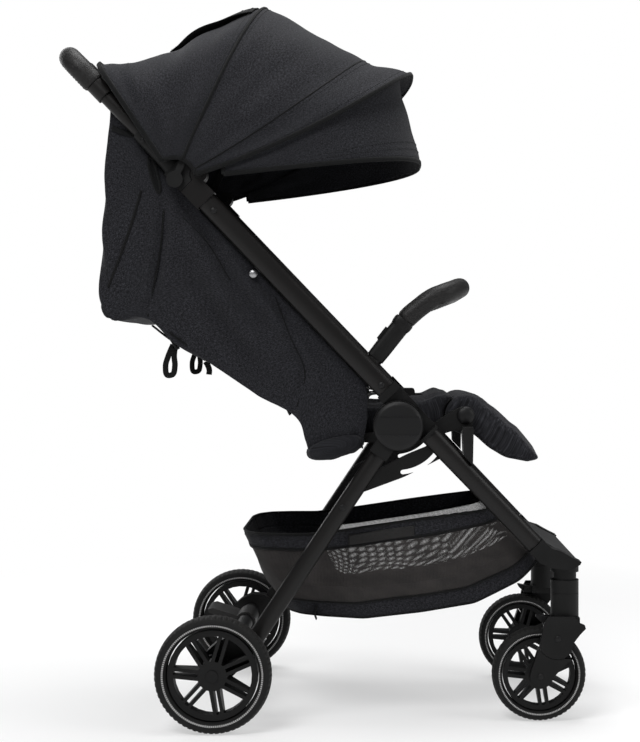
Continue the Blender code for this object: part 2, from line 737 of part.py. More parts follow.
def build_trigger(across):
    """Housing round the middle of the handle bar, with the button that releases the fold."""
    ends = (-TRIGGER_HALF, -TRIGGER_HALF + 0.006, TRIGGER_HALF - 0.006, TRIGGER_HALF)
    path = [UPPER.point(HANDLE_CROSS, 0, y) for y in ends]
    sizes = (2 * GRIP_RADIUS - 0.002, 2 * GRIP_RADIUS + 0.003, 2 * GRIP_RADIUS + 0.003,
             2 * GRIP_RADIUS - 0.002)
    outer = [oval(s, s, 16, 2.0) for s in sizes]
    inner = [oval(HANDLE_TUBE + 4 * GAP, HANDLE_TUBE + 4 * GAP, 16, 2.0)] * 4
    floor = HANDLE_TUBE / 2 + 2 * GAP
    slot = trigger_shape(BUTTON_HALF + RUNNING, BUTTON_SIDE + RUNNING, floor, 0.03)
    add("trigger_housing", sleeve(path, outer, inner, across), "handle", "black_plastic", cuts=(slot,))
    low = floor + TRIGGER_TRAVEL + GAP
    add("fold_trigger", trigger_shape(BUTTON_HALF, BUTTON_SIDE, low, low + 0.0040), "fold_trigger",
        "gloss_black")


def trigger_shape(half, side, low, high):
    """A block on the back of the handle's middle, between two distances from the bar's centre line."""
    bm = bmesh.new()
    bmesh.ops.create_cube(bm, size=1.0)
    for v in bm.verts:
        t = HANDLE_CROSS + low + (v.co.x + 0.5) * (high - low)
        v.co = UPPER.point(t, v.co.z * 2 * side, v.co.y * 2 * half)
    bmesh.ops.recalc_face_normals(bm, faces=bm.faces)
    return bm


def stay_pin():
    """Pin on the front leg that runs in the stay's slot, with its head inboard of the stay."""
    centre = FRONT.at(STAY_T, STAY_N)
    inner = STAY_HALF - STAY_DEPTH / 2 - RUNNING
    return (drum(centre, STAY_PIN_RADIUS, inner - 0.001, front_half(STAY_T) - TUBE_DEPTH / 2 + 0.002, 12),
            drum(centre, STAY_PIN_RADIUS + 0.0025, inner - 0.0018, inner, 12))


def build_stays():
    """Fold stays: a flat bar on each rear leg whose curved slot guides the front leg's pin round the hub."""
    pin = FRONT.at(STAY_T, STAY_N)
    rel = Vector((pin[0] - HUB[0], pin[1] - HUB[1]))
    radius, first = rel.length, math.atan2(rel.y, rel.x)
    last = first - FRONT_FOLD
    slack = math.radians(1.5)
    half = STAY_PIN_RADIUS + RUNNING
    outer = arc(HUB, radius + half, first + slack, last - slack, 9)
    inner = arc(HUB, radius - half, last - slack, first + slack, 9)
    nose = arc(round_hub(radius, first + slack), half, first + slack + math.pi, first + slack, 4)[1:-1]
    tail = arc(round_hub(radius, last - slack), half, last - slack, last - slack - math.pi, 4)[1:-1]
    foot = REAR.at(STAY_LEG_T, 0)
    run = Vector((foot[0] - pin[0], foot[1] - pin[1]))
    bar = Bar(pin, math.atan2(run.y, run.x), 1)
    plate = rounded(bar.outline([
        (-0.013, -0.0110), (0.045, -0.0135), (run.length + 0.010, -0.009), (run.length + 0.010, 0.009),
        (0.062, 0.0150), (-0.013, 0.0120)]), 0.008, 3)
    low, high = STAY_HALF - STAY_DEPTH / 2, STAY_HALF + STAY_DEPTH / 2
    leg_face = FRAME_HALF - REAR_TUBE_DEPTH / 2 - GAP
    for name, side in SIDES:
        slot = prism(outer + tail + inner + nose, low - 0.005, high + 0.005)
        add("fold_stay_" + name, mirrored(prism(plate, low, high), side), "rear_frame", "black_metal",
            joins=(mirrored(drum(foot, 0.0075, high - 0.001, leg_face, 14), side),
                   ), cuts=(mirrored(slot, side),))


def round_hub(radius, angle):
    """The side view point at a distance and an angle from the hub's centre."""
    return HUB[0] + radius * math.cos(angle), HUB[1] + radius * math.sin(angle)


def build_castings():
    """Front castings that carry the caster posts, and the foot plate between them."""
    end = FRONT_TUBE_END + LEAN
    wide = FRONT_TUBE_FOOT / 2
    top = [FRONT.at(end, wide), FRONT.at(end + 0.018, wide), (POST_X - 0.008, POST_TOP + 0.0265),
           (POST_X + 0.0085, POST_TOP + 0.0172), (POST_X + 0.0215, POST_TOP + 0.0108)]
    under = [(POST_X + 0.0195, POST_TOP + 0.0070), (POST_X + 0.009, POST_TOP + 0.0013),
             (POST_X - 0.0036, POST_TOP - 0.0003),
             (POST_X - 0.022, POST_TOP + 0.0025), (POST_X - 0.0388, POST_TOP + 0.0098), FRONT.at(end, -wide)]
    outline = top + under
    for name, side in SIDES:
        shell = prism(outline, POST_HALF - 0.004, FRONT_FOOT_HALF + 0.0125)
        joins = [upright(POST_X, POST_HALF, POST_RADIUS, POST_SPLIT + 0.0115, POST_TOP + 0.004),
                 upright(POST_X, POST_HALF, POST_RADIUS - 0.0035, POST_SPLIT - 0.001, POST_SPLIT + 0.012),
                 upright(POST_X, POST_HALF, POST_RADIUS, POST_RING, POST_SPLIT)]
        bore = upright(POST_X, POST_HALF, STEM_RADIUS + RUNNING, POST_RING - 0.01, STEM_TOP + 0.001, 16)
        add("front_casting_" + name, mirrored(shell, side), "front_frame", "black_plastic",
            joins=[mirrored(shape, side) for shape in joins], cuts=(mirrored(bore, side),))
    inner = POST_HALF - 0.004 - GAP
    plate_top = [FRONT.at(end + 0.004, wide - 0.002), (POST_X - 0.011, POST_TOP + 0.0262),
                 (POST_X + 0.006, POST_TOP + 0.0172), (POST_X + 0.0195, POST_TOP + 0.0105)]
    plate_low = [(POST_X + 0.0165, POST_TOP + 0.0065), (POST_X + 0.003, POST_TOP + 0.0095),
                 (POST_X - 0.013, POST_TOP + 0.0180), FRONT.at(end + 0.004, wide - 0.010)]
    add("foot_plate", prism(plate_top + plate_low, -inner, inner), "front_frame", "grey_plastic",
        bevel=0.0008)


def build_casters():
    """Casters: a single-sided fork with its kingpin, a sprung swing arm with the axle, and a swivel lock."""
    px, pz = SWING_PIVOT
    ax, az = FRONT_AXLE
    outer = FORK_INNER + FORK_PLATE
    split = FORK_INNER + SWING_PLATE
    seam_start, seam_end = math.radians(206), math.radians(288)
    fork_low = arc(SWING_PIVOT, SEAM_RADIUS, seam_start, seam_end, 6)
    fork_outline = ([(POST_X - 0.0269, 0.1545), (POST_X - 0.0327, 0.1439)] + fork_low
                    + [(POST_X + 0.0065, 0.103), (POST_X + 0.0095, 0.116), (POST_X + 0.0195, 0.1290),
                       (POST_X + 0.0275, 0.1372), (POST_X + 0.0262, 0.1420), (POST_X + 0.0195, 0.1450),
                       (POST_X + 0.010, 0.1545)])
    arm_top = arc(SWING_PIVOT, SEAM_RADIUS + 0.0006, seam_start, seam_end, 6)
    foot = arc(FRONT_AXLE, 0.0148, math.radians(-38), math.radians(-196), 8)
    arm_outline = arm_top + [(POST_X + 0.0088, 0.0935), (POST_X - 0.0062, 0.0812)] + foot
    link = [(px + 0.011, pz), (px + 0.010, pz - 0.032), (ax + 0.010, az + 0.012), (ax - 0.010, az + 0.012),
            (px - 0.011, pz)]
    for name, side in SIDES:
        head = upright(POST_X, POST_HALF, POST_RADIUS, FORK_SHOULDER - 0.001, POST_RING - GAP)
        stem = upright(POST_X, POST_HALF, STEM_RADIUS, FORK_SHOULDER, STEM_TOP, 16)
        bridge = prism([(POST_X - 0.0195, FORK_BRIDGE), (POST_X + 0.0195, FORK_BRIDGE),
                        (POST_X + 0.0195, 0.1520), (POST_X - 0.0195, 0.1520)],
                       POST_HALF - 0.0150, split + 0.002)
        plate = prism(fork_outline, split + RUNNING, outer)
        pin = drum(SWING_PIVOT, 0.0040, FORK_INNER, split + 0.003, 12)
        ears = prism([(POST_X - 0.0335, 0.1405), (POST_X - 0.010, 0.1405), (POST_X - 0.010, 0.1515),
                      (POST_X - 0.0310, 0.1515)],
                     POST_HALF - LOCK_HALF - 0.0045, POST_HALF + LOCK_HALF + 0.0045)
        slot = prism([(POST_X - 0.05, 0.130), (POST_X - 0.0215, 0.130), (POST_X - 0.0215, 0.170),
                      (POST_X - 0.05, 0.170)],
                     POST_HALF - LOCK_HALF - RUNNING, POST_HALF + LOCK_HALF + RUNNING)
        lock_pin = drum(LOCK_PIN, 0.0018 + RUNNING, POST_HALF - 0.03, POST_HALF + 0.0145, 10)
        add("caster_fork_" + name, mirrored(head, side), "caster_" + name, "black_plastic",
            joins=[mirrored(shape, side) for shape in (stem, bridge, plate, pin, ears)],
            cuts=[mirrored(shape, side) for shape in (slot, lock_pin)])

        bore = drum(SWING_PIVOT, 0.0040 + RUNNING, FORK_INNER - 0.01, outer + 0.01, 14)
        eye = drum(SWING_PIVOT, 0.0112, FORK_INNER, split, 18)
        thin = prism(link, FORK_INNER, split)
        axle = drum(FRONT_AXLE, AXLE_RADIUS, POST_HALF - 0.0185, FORK_INNER + 0.003, 14)
        stop = drum(FRONT_AXLE, 0.0090, POST_HALF - 0.0190, POST_HALF - 0.0165, 14)
        thick = prism(arm_outline, FORK_INNER, outer)
        add("swing_arm_" + name, mirrored(thick, side), "swing_arm_" + name, "black_plastic",
            joins=[mirrored(shape, side) for shape in (thin, eye, axle, stop)], cuts=(mirrored(bore, side),))

        x, z = LOCK_PIN
        outline = rounded([(x + 0.0030, z - 0.0040), (x + 0.0030, z + 0.0035), (x - 0.004, z + 0.0050),
                           (x - 0.0165, z + 0.0075), (x - 0.0150, z + 0.0030), (x - 0.0075, z - 0.0040)],
                          0.0012, 1)
        lever = prism(outline, POST_HALF - LOCK_HALF, POST_HALF + LOCK_HALF)
        pins = drum(LOCK_PIN, 0.0018, POST_HALF - LOCK_HALF - 0.0035, POST_HALF + LOCK_HALF + 0.0035, 10)
        add("swivel_lock_" + name, mirrored(lever, side), "swivel_lock_" + name, "gloss_black",
            joins=(mirrored(pins, side),))


def ring_points(radius, angles, y):
    """Points round an axis along Y at the given angles."""
    return [Vector((radius * math.cos(a), y, radius * math.sin(a))) for a in angles]


def rim_shape(radius, bore, hub_half, rim_half, flat, turn_by):
    """Wheel rim: a bored hub, seven pairs of parallel spokes and a ring. The windows go right through."""
    opening = radius * RIM_OPENING
    seat = radius * TYRE_BEAD * flat - GAP - 0.0002
    inner, outer = [], []
    for k in range(SPOKES):
        mid = turn_by + 2 * math.pi * k / SPOKES
        offsets = (-SPOKE_OUTER, -SPOKE_INNER, SPOKE_INNER, SPOKE_OUTER)
        inner += [mid + math.asin(h / WHEEL_HUB_RADIUS) for h in offsets]
        outer += [mid + math.asin(h / opening) for h in offsets]
        span = 2 * math.pi / SPOKES - 2 * math.asin(SPOKE_OUTER / opening)
        outer += [mid + math.asin(SPOKE_OUTER / opening) + span * share for share in (1 / 3, 2 / 3)]
    bore_angles = inner[::2]
    bm = bmesh.new()
    rows = {}
    for key, r, angles, half in (("bore", bore, bore_angles, hub_half),
                                 ("hub", WHEEL_HUB_RADIUS, inner, hub_half),
                                 ("open", opening, outer, rim_half), ("seat", seat, outer, rim_half)):
        for face in (-1, 1):
            rows[key, face] = [bm.verts.new(p) for p in ring_points(r, angles, face * half)]
    for face in (-1, 1):
        hub, ring, out, core = rows["hub", face], rows["open", face], rows["seat", face], rows["bore", face]
        for i in range(len(outer)):
            j = (i + 1) % len(outer)
            bm.faces.new((ring[i], ring[j], out[j], out[i]))
        for k in range(SPOKES):
            for a in (0, 2):
                i, j = 4 * k + a, 6 * k + a
                bm.faces.new((hub[i], hub[i + 1], ring[j + 1], ring[j]))
        for i in range(len(core)):
            j = (i + 1) % len(core)
            bm.faces.new((core[i], hub[2 * i], hub[2 * i + 1], hub[(2 * i + 2) % len(hub)], core[j]))
    for key, count in (("bore", len(bore_angles)), ("seat", len(outer))):
        for i in range(count):
            j = (i + 1) % count
            bm.faces.new((rows[key, -1][i], rows[key, -1][j], rows[key, 1][j], rows[key, 1][i]))
    for k in range(SPOKES):
        for a in range(4):
            i, j = 4 * k + a, 6 * k + a
            bm.faces.new((rows["hub", -1][i], rows["hub", 1][i], rows["open", 1][j], rows["open", -1][j]))
        for a in (1, 3):
            i = 4 * k + a
            n = (i + 1) % len(inner)
            bm.faces.new((rows["hub", -1][i], rows["hub", -1][n], rows["hub", 1][n], rows["hub", 1][i]))
        for a in (1, 3, 4, 5):
            i = 6 * k + a
            n = (i + 1) % len(outer)
            bm.faces.new((rows["open", -1][i], rows["open", -1][n], rows["open", 1][n], rows["open", 1][i]))
    bmesh.ops.recalc_face_normals(bm, faces=bm.faces)
    return bm


def tyre_shape(radius, width, centre):
    """Solid tyre with a flat tread, rounded shoulders and a bead that sits on the rim."""
    half = width / 2
    bead = radius * TYRE_BEAD
    profile = [(bead, -half * 0.62), (radius * 0.86, -half * 0.97), (radius * 0.955, -half * 0.90),
               (radius, -half * 0.42), (radius, half * 0.42), (radius * 0.955, half * 0.90),
               (radius * 0.86, half * 0.97), (bead, half * 0.62)]
    return turn(profile, centre, TYRE_STEPS)


def build_wheel(kind, name, side, centre, half_y, radius, width, hub_half, turn_by, extra=(), cuts=()):
    """One wheel: a spoked rim and a tyre, both on the wheel's own body."""
    owner = kind + "_wheel_" + name
    rim = rim_shape(radius, AXLE_RADIUS + RUNNING, hub_half, width * 0.30, FLAT, turn_by)
    bmesh.ops.translate(rim, verts=rim.verts, vec=(centre[0], half_y, centre[1]))
    add(kind + "_rim_" + name, mirrored(rim, side), owner, "black_plastic",
        joins=[mirrored(shape, side) for shape in extra], cuts=[mirrored(shape, side) for shape in cuts])
    tyre = tyre_shape(radius, width, centre)
    bmesh.ops.translate(tyre, verts=tyre.verts, vec=(0, half_y, 0))
    add(kind + "_tyre_" + name, mirrored(tyre, side), owner, "tyre")


def brake_ring():
    """Teeth on the inner face of a rear wheel's hub. The brake pin drops between two of them."""
    face = REAR_WHEEL_HALF - REAR_HUB_HALF
    pitch = 2 * math.pi / BRAKE_TEETH
    outline = []
    for k in range(BRAKE_TEETH):
        mid = BRAKE_PIN_ANGLE + pitch * (k + 0.5)
        for radius, shift in ((BRAKE_RING_ROOT, -0.224), (BRAKE_RING_OUTER, -0.20), (BRAKE_RING_OUTER, 0.20),
                              (BRAKE_RING_ROOT, 0.224)):
            a = mid + pitch * shift
            outline.append((REAR_AXLE_X + radius * math.cos(a), REAR_AXLE_Z + radius * math.sin(a)))
    return prism(outline, face - BRAKE_RING_DEPTH, face + 0.002)


def build_rear_axle():
    """Rear axle: cross beam, two moulded feet round the rear legs' ends, and an axle stub on each side."""
    ax, az = REAR_AXLE_X, REAR_AXLE_Z
    end = rear_leg_end() + GAP
    half = REAR_TUBE_WIDTH / 2 + 0.002
    outline = (arc((ax, az), FOOT_RADIUS, math.radians(160), math.radians(335), 10)
               + [REAR.at(end, -half), REAR.at(end, half), (ax + 0.0215, az + 0.049),
                  (ax + 0.004, az + 0.041), (ax - 0.012, az + 0.027)])
    low = FRAME_HALF - FOOT_DEPTH / 2 - 0.002
    high = FRAME_HALF + FOOT_DEPTH / 2 - 0.002
    wheel_face = REAR_WHEEL_HALF - REAR_HUB_HALF
    pin = brake_pin_place()
    base = drum(BEAM, BEAM_RADIUS, -FRAME_HALF, FRAME_HALF, 20)
    joins, cuts = [], []
    for name, side in SIDES:
        joins += [mirrored(prism(outline, low, high), side),
                  mirrored(drum((ax, az), AXLE_RADIUS, high - 0.002,
                                REAR_WHEEL_HALF + REAR_HUB_HALF + RUNNING, 14), side),
                  mirrored(drum((ax, az), AXLE_RADIUS + 0.003, high - 0.002, wheel_face - RUNNING, 14), side),
                  mirrored(drum((ax, az), AXLE_CAP, REAR_WHEEL_HALF + REAR_HUB_HALF + RUNNING,
                                REAR_WHEEL_HALF + REAR_HUB_HALF + 0.0020, 14), side)]
        cuts.append(mirrored(drum(pin, BRAKE_PIN_RADIUS + RUNNING, low + 0.006, high + 0.01, 12), side))
    add("rear_axle", base, "rear_frame", "black_plastic", joins=joins, cuts=cuts)
    for name, side in SIDES:
        shape = drum(pin, BRAKE_PIN_RADIUS, low + 0.006 + GAP, high - GAP, 12)
        add("brake_pin_" + name, mirrored(shape, side), "brake_pin_" + name, "steel")


def brake_pin_place():
    """Centre of the brake pin: straight above the axle, in the middle of a gap of the tooth ring."""
    radius = (BRAKE_RING_ROOT + BRAKE_RING_OUTER) / 2
    return (REAR_AXLE_X + radius * math.cos(BRAKE_PIN_ANGLE),
            REAR_AXLE_Z + radius * math.sin(BRAKE_PIN_ANGLE))


def build_brake_pedal():
    """Brake pedal: a sleeve that turns on the rear beam, with a ribbed tread to the rear."""
    x, z = BEAM
    low, high = PEDAL_Y - 0.036, PEDAL_Y + 0.036
    ring = turn([(BEAM_RADIUS + RUNNING, low), (BEAM_RADIUS + RUNNING, high), (BEAM_RADIUS + 0.004, high),
                 (BEAM_RADIUS + 0.004, low)], BEAM, 20)
    tread = prism([(x - 0.014, z - 0.003), (x - 0.012, z + 0.009), (x - 0.052, z + 0.022),
                   (x - 0.060, z + 0.020),
                   (x - 0.058, z + 0.014), (x - 0.030, z + 0.005)], low, high)
    add("brake_pedal", ring, "brake_pedal", "grey_plastic", joins=(tread,))


def build_wheels():
    """All four wheels. The rear pair carries the brake's tooth rings."""
    rear = (REAR_AXLE_X, REAR_AXLE_Z)
    face = REAR_WHEEL_HALF - REAR_HUB_HALF
    for name, side in SIDES:
        bore = drum(rear, AXLE_RADIUS + RUNNING, face - 0.002, REAR_WHEEL_HALF + 0.03, 16)
        recess = drum(rear, AXLE_RADIUS + 0.003 + RUNNING, face - 0.02, face - RUNNING / 2, 16)
        build_wheel("rear", name, side, rear, REAR_WHEEL_HALF, REAR_WHEEL_RADIUS, REAR_WHEEL_WIDTH,
                    REAR_HUB_HALF,
                    SPOKE_TURN, (brake_ring(),), (bore, recess))
        build_wheel("front", name, side, FRONT_AXLE, POST_HALF, FRONT_WHEEL_RADIUS, FRONT_WHEEL_WIDTH,
                    FRONT_HUB_HALF,
                    SPOKE_TURN)


def orient(bm, inside):
    """Make an open sheet's faces agree and look away from a point inside it."""
    bmesh.ops.recalc_face_normals(bm, faces=bm.faces)
    total = sum((f.calc_center_median() - inside).dot(f.normal) * f.calc_area() for f in bm.faces)
    if total < 0:
        bmesh.ops.reverse_faces(bm, faces=bm.faces)
    return bm


def grid(rows, inside, close=False):
    """An open sheet through rows of points."""
    bm = bmesh.new()
    made = [[bm.verts.new(p) for p in row] for row in rows]
    for a, b in zip(made, made[1:]):
        count = len(a) if close else len(a) - 1
        for i in range(count):
            j = (i + 1) % len(a)
            bm.faces.new((a[i], a[j], b[j], b[i]))
    return orient(bm, Vector(inside))


def arch_points(degrees, reach, power, sag=0.0, half=CANOPY_HALF, first=CANOPY_START, columns=16):
    """A bow's curve: a flat superellipse that stands on the canopy's axis and leans at the given angle."""
    angle = math.radians(degrees)
    start = math.asin((first / reach) ** (power / 2))
    points = []
    for i in range(columns + 1):
        a = start + (math.pi - 2 * start) * i / columns
        r = reach * math.sin(a) ** (2 / power)
        y = half * math.copysign(abs(math.cos(a)) ** (2 / power), math.cos(a))
        low = sag * math.sin(math.pi * min(1.0, r / reach)) ** 0.7 if r < reach * 0.985 else 0.0
        points.append(Vector((
            CANOPY_PIN[0] + r * math.cos(angle) + low * math.sin(angle), y,
            CANOPY_PIN[1] + r * math.sin(angle) - low * math.cos(angle))))
    return points


def roof(name, rows, owner, sags, first=CANOPY_START, half=CANOPY_HALF):
    """One canopy panel through its bows' curves."""
    curves = [arch_points(*bow, sag, half, first) for bow, sag in zip(rows, sags)]
    inside = (CANOPY_PIN[0] + 0.03, 0, CANOPY_PIN[1] + 0.02)
    skin_object(name, grid(curves, inside), owner, "fabric", CANOPY_CLOTH)


def build_canopy():
    """Canopy: rear roof, main bow, front roof and visor, each riding on its own bow."""
    roof("canopy_rear_panel", REAR_ROOF, "canopy_main", (0,) * len(REAR_ROOF))
    roof("canopy_front_panel", FRONT_ROOF, "canopy_front", (0, 0.002, 0.006, 0.011, 0.016, 0.023))
    roof("canopy_visor", VISOR, "canopy_visor", (0.0214, 0.018, 0.008, 0.002), VISOR_START,
         CANOPY_HALF - VISOR_INSET)
    degrees, reach, power = MAIN_BOW
    angle = math.radians(degrees)
    across = Vector((-math.sin(angle), 0, math.cos(angle)))
    centre = Vector((CANOPY_PIN[0], 0, CANOPY_PIN[1]))
    lines = []
    for cut in (BOW_SHRINK, BOW_SHRINK + BOW_DEPTH):
        curve = arch_points(degrees, reach - cut, power, 0.0, CANOPY_HALF - cut)
        lines.append([p for p in curve if (p - centre).dot(Vector((math.cos(angle), 0,
                                                                   math.sin(angle)))) > 0])
    rings = []
    for outer, inner in zip(*lines):
        shift = across * BOW_WIDTH / 2
        rings.append([outer - shift, outer + shift, inner + shift, inner - shift])
    outside = CANOPY_HALF - BOW_SHRINK
    ends = []
    for side in (-1, 1):
        disc = drum(CANOPY_PIN, 0.012, outside - BOW_DEPTH, outside, 20)
        strip = prism([
            (CANOPY_PIN[0] + a * math.cos(angle) + b * across.x,
             CANOPY_PIN[1] + a * math.sin(angle) + b * across.z)
            for a, b in ((0, -BOW_WIDTH / 2), (CANOPY_START + 0.003, -BOW_WIDTH / 2),
                         (CANOPY_START + 0.003, BOW_WIDTH / 2), (0, BOW_WIDTH / 2))],
            outside - BOW_DEPTH, outside)
        ends += [mirrored(disc, side), mirrored(strip, side)]
    add("canopy_main_bow", loft(rings), "canopy_main", "black_plastic", joins=ends)


def pad_solid(line, length, half, board, depth, channels, columns=10, end=0.0):
    """A padded slab on a straight line: flat back, rounded edges, a crown and stitched channels across."""
    stations = []
    per = 5
    for c in range(channels):
        for k in range(per):
            u = (c + k / per) / channels
            stations.append((u, math.sin(math.pi * k / per)))
    stations.append((1.0, 0.0))
    rings = []
    for u, puff in stations:
        t = end + u * length
        edge = min(u, 1 - u) * length
        rise = board + (depth - board) * (0.62 + 0.38 * puff) * min(1.0, 0.55 + edge / 0.03)
        inset = 0.006 * max(0.0, 1 - edge / 0.012)
        wide = half - inset
        ring = [line.point(t, 0, -wide), line.point(t, 0, wide)]
        for i in range(columns + 1):
            a = math.pi * i / columns
            y = math.copysign(abs(math.cos(a)) ** 0.45, math.cos(a)) * wide
            n = board + (rise - board) * math.sin(a) ** 0.5
            ring.append(line.point(t, n, y))
        rings.append(ring)
    return loft(rings)


def build_seat():
    """Base with rails, seat pad, calf rest on its hinge, reclining backrest and the cloth sling."""
    top = Bar((SEAT_REAR, HUB_HEIGHT - 0.0190), SEAT_TILT, 1)
    length = SEAT_FRONT - SEAT_REAR
    board = prism(top.outline([(0, -BOARD_DEPTH), (length, -BOARD_DEPTH), (length, 0), (0, 0)]),
                  -SEAT_RAIL_IN - 0.002, SEAT_RAIL_IN + 0.002)
    cx = CALF_HINGE_X
    rail = from_hub((-0.0600, -0.0265), (0.0300, -0.0250), (0.0780, -0.0100), (cx - 0.005, -0.0095),
                    (cx + 0.010, -0.0010), (cx + 0.012, 0.0130), (cx + 0.008, 0.0230), (cx - 0.004, 0.0255),
                    (cx - 0.020, 0.0190), (0.0480, -0.0010), (-0.0600, -0.0150))
    foot = FRONT_TUBE_WIDTH / 2 + GAP
    post = [FRONT.at(0.0960, foot), FRONT.at(0.1150, foot)]
    post += from_hub((cx + 0.010, -0.0030), (cx - 0.006, -0.0030))
    joins, cuts = [], []
    for name, side in SIDES:
        joins += [mirrored(prism(rail, SEAT_RAIL_IN, SEAT_RAIL_OUT), side),
                  mirrored(prism(post, SEAT_RAIL_IN + 0.004, FRAME_HALF + 0.003), side)]
        cuts.append(mirrored(drum(CALF_PIN, CALF_PIN_RADIUS + RUNNING, SEAT_RAIL_IN - 0.01,
                                  SEAT_RAIL_IN + 0.012, 14), side))
    add("seat_base", board, "front_frame", "black_plastic", joins=joins, cuts=cuts)

    back = from_hub((SEAT_REAR - 0.044, -0.0180), (SEAT_REAR - 0.046, -0.0060), (SEAT_REAR - 0.040, 0.0110))
    crest = from_hub((-0.080, 0.0220), (-0.055, 0.0250), (-0.030, 0.0230), (-0.005, 0.0300),
                     (0.018, 0.0330), (0.040, 0.0330), (0.062, 0.0425), (cx - 0.0205, 0.0435))
    nose = arc(CALF_PIN, CALF_ROLL + 0.0012, math.radians(112), math.radians(206), 5)
    low = [top.at(length + 0.002, 0.0005), top.at(0, 0.0005)]
    outline = back + crest + nose + low
    add("seat_pad", pillow(outline, SEAT_HALF, 0.010, 0.9), "front_frame", "fabric_pad")

    roll = arc(CALF_PIN, CALF_ROLL, math.radians(-67), math.radians(-285), 12)
    calf = roll + from_hub((cx + 0.0226, 0.0340), (cx + 0.0330, 0.0235), (cx + 0.0410, 0.0190),
                           (cx + 0.0520, 0.0095), (cx + 0.0660, -0.0040), (cx + 0.0740, -0.0085),
                           (cx + 0.0860, -0.0220), (cx + 0.1105, -0.0505), (cx + 0.1080, -0.0540),
                           (cx + 0.0920, -0.0565), (cx + 0.0596, -0.0502), (cx + 0.0350, -0.0355),
                           (cx + 0.0185, -0.0205))
    pins = [mirrored(drum(CALF_PIN, CALF_PIN_RADIUS, SEAT_HALF - 0.008, SEAT_RAIL_IN + 0.010, 12), side)
            for name, side in SIDES]
    add("calf_rest", pillow(calf, SEAT_HALF, 0.008, 0.93), "calf_rest", "leather_trim", joins=pins)

    line = Bar(BACK.at(0, SLING_WALL + GAP), BACK_ANGLE, -1)
    add("backrest_pad", pad_solid(line, BACK_LENGTH, BACK_HALF, BACK_BOARD, BACK_BOARD + BACK_PAD, 3,
                                  end=BACK_START),
        "backrest", "fabric_pad")
    build_sling()


def pillow(outline, half, soft, share):
    """A long cushion across the seat: one outline, drawn in a little towards both ends."""
    centre = Vector((sum(x for x, z in outline) / len(outline), sum(z for x, z in outline) / len(outline)))
    rings = []
    for y, scale in ((-half, share), (-half + soft, 1.0), (half - soft, 1.0), (half, share)):
        ring = []
        for x, z in outline:
            p = centre + (Vector((x, z)) - centre) * scale
            ring.append(Vector((p.x, y, p.y)))
        rings.append(ring)
    return loft(rings)


def build_sling():
    """Cloth that hangs between the upper tubes: back, underside and two side walls, with soft folds."""
    back = from_hub((-0.4115, 0.4890), (-0.4140, 0.4480), (-0.4185, 0.4110), (-0.4230, 0.3390),
                    (-0.4250, 0.2690), (-0.4245, 0.1690), (-0.4145, 0.1550), (-0.3590, 0.1520),
                    (-0.3265, 0.1210), (-0.2735, 0.0915), (-0.2050, 0.0450),
                    (SLING_START_X, SLING_START_RISE), (-0.1330, -0.0230), (-0.1230, -0.0480),
                    (-0.1000, -0.0505), (-0.0720, -0.0415), (-0.0520, -0.0340))
    lengths = (0.540, 0.512, 0.484, 0.448, 0.410, 0.362, 0.340, 0.312, 0.284, 0.250, 0.210, 0.172, 0.148,
               0.124, 0.102, 0.078, 0.056)
    last = len(back) - 1
    rows = []
    for i, (x, z) in enumerate(back):
        edge = UPPER.at(lengths[i], SLING_EDGE) if i < last else (-0.0440, HUB_HEIGHT + 0.0090)
        here, past = Vector(back[max(i - 1, 0)]), Vector(back[min(i + 1, last)])
        away = Vector((past.y - here.y, here.x - past.x)).normalized()
        fold = 0.35 + 0.65 * math.sin(3.2 * math.pi * i / last) ** 2
        loose = min(1.0, max(0.0, (last - 4 - i) / 3))
        side = []
        for v in (1.0, 0.62, 0.28, 0.0):
            bulge = SLING_BULGE * math.sin(math.pi * v) * fold * loose
            side.append(Vector((x + (edge[0] - x) * v, SLING_HALF + bulge, z + (edge[1] - z) * v)))
        floor = []
        for share in (0.55, 0.0, -0.55):
            sag = SLING_SAG * (1 - share * share) * min(1.0, max(0.0, (9 - i) / 3))
            floor.append(Vector((x + away.x * sag, SLING_HALF * share, z + away.y * sag)))
        rows.append(side + floor + [Vector((p.x, -p.y, p.z)) for p in reversed(side)])
    skin_object("seat_sling", grid(rows, (-0.26, 0, HUB_HEIGHT + 0.229)), "upper_frame", "fabric", SLING_WALL)


def arm_point(s, n=0.0):
    """Side view point on the arm bar's straight part, at s along it and n towards its rear side."""
    x, z = UPPER.at(ARM_ROOT_T, ARM_ROOT_N)
    return (x + s * math.cos(ARM_ANGLE) - n * math.sin(ARM_ANGLE),
            z + s * math.sin(ARM_ANGLE) + n * math.cos(ARM_ANGLE))


def arm_rod(radius, s0, s1, steps=16, y=ARM_HALF):
    """A round bar along the arm bar's straight part."""
    x0, z0 = arm_point(s0)
    x1, z1 = arm_point(s1)
    across = Vector((-math.sin(ARM_ANGLE), 0, math.cos(ARM_ANGLE)))
    return sweep([Vector((x0, y, z0)), Vector((x1, y, z1))], oval(2 * radius, 2 * radius, steps, 2.0), across)


def arm_socket():
    """Socket on the upper tube that takes the arm bar's end."""
    lug = UPPER.outline([(ARM_ROOT_T - 0.010, -0.004), (ARM_ROOT_T + 0.010, -0.004),
                         (ARM_ROOT_T + 0.008, ARM_ROOT_N + 0.004), (ARM_ROOT_T - 0.008, ARM_ROOT_N + 0.004)])
    return (prism(lug, ARM_HALF, FRAME_HALF), arm_rod(ARM_SOCKET_RADIUS, ARM_START - 0.001, ARM_SOCKET))


def arm_socket_cuts():
    """Bore of the arm bar's socket, open at both ends."""
    return (arm_rod(ARM_BAR_RADIUS + RUNNING, ARM_START - 0.01, ARM_SOCKET + 0.02),)


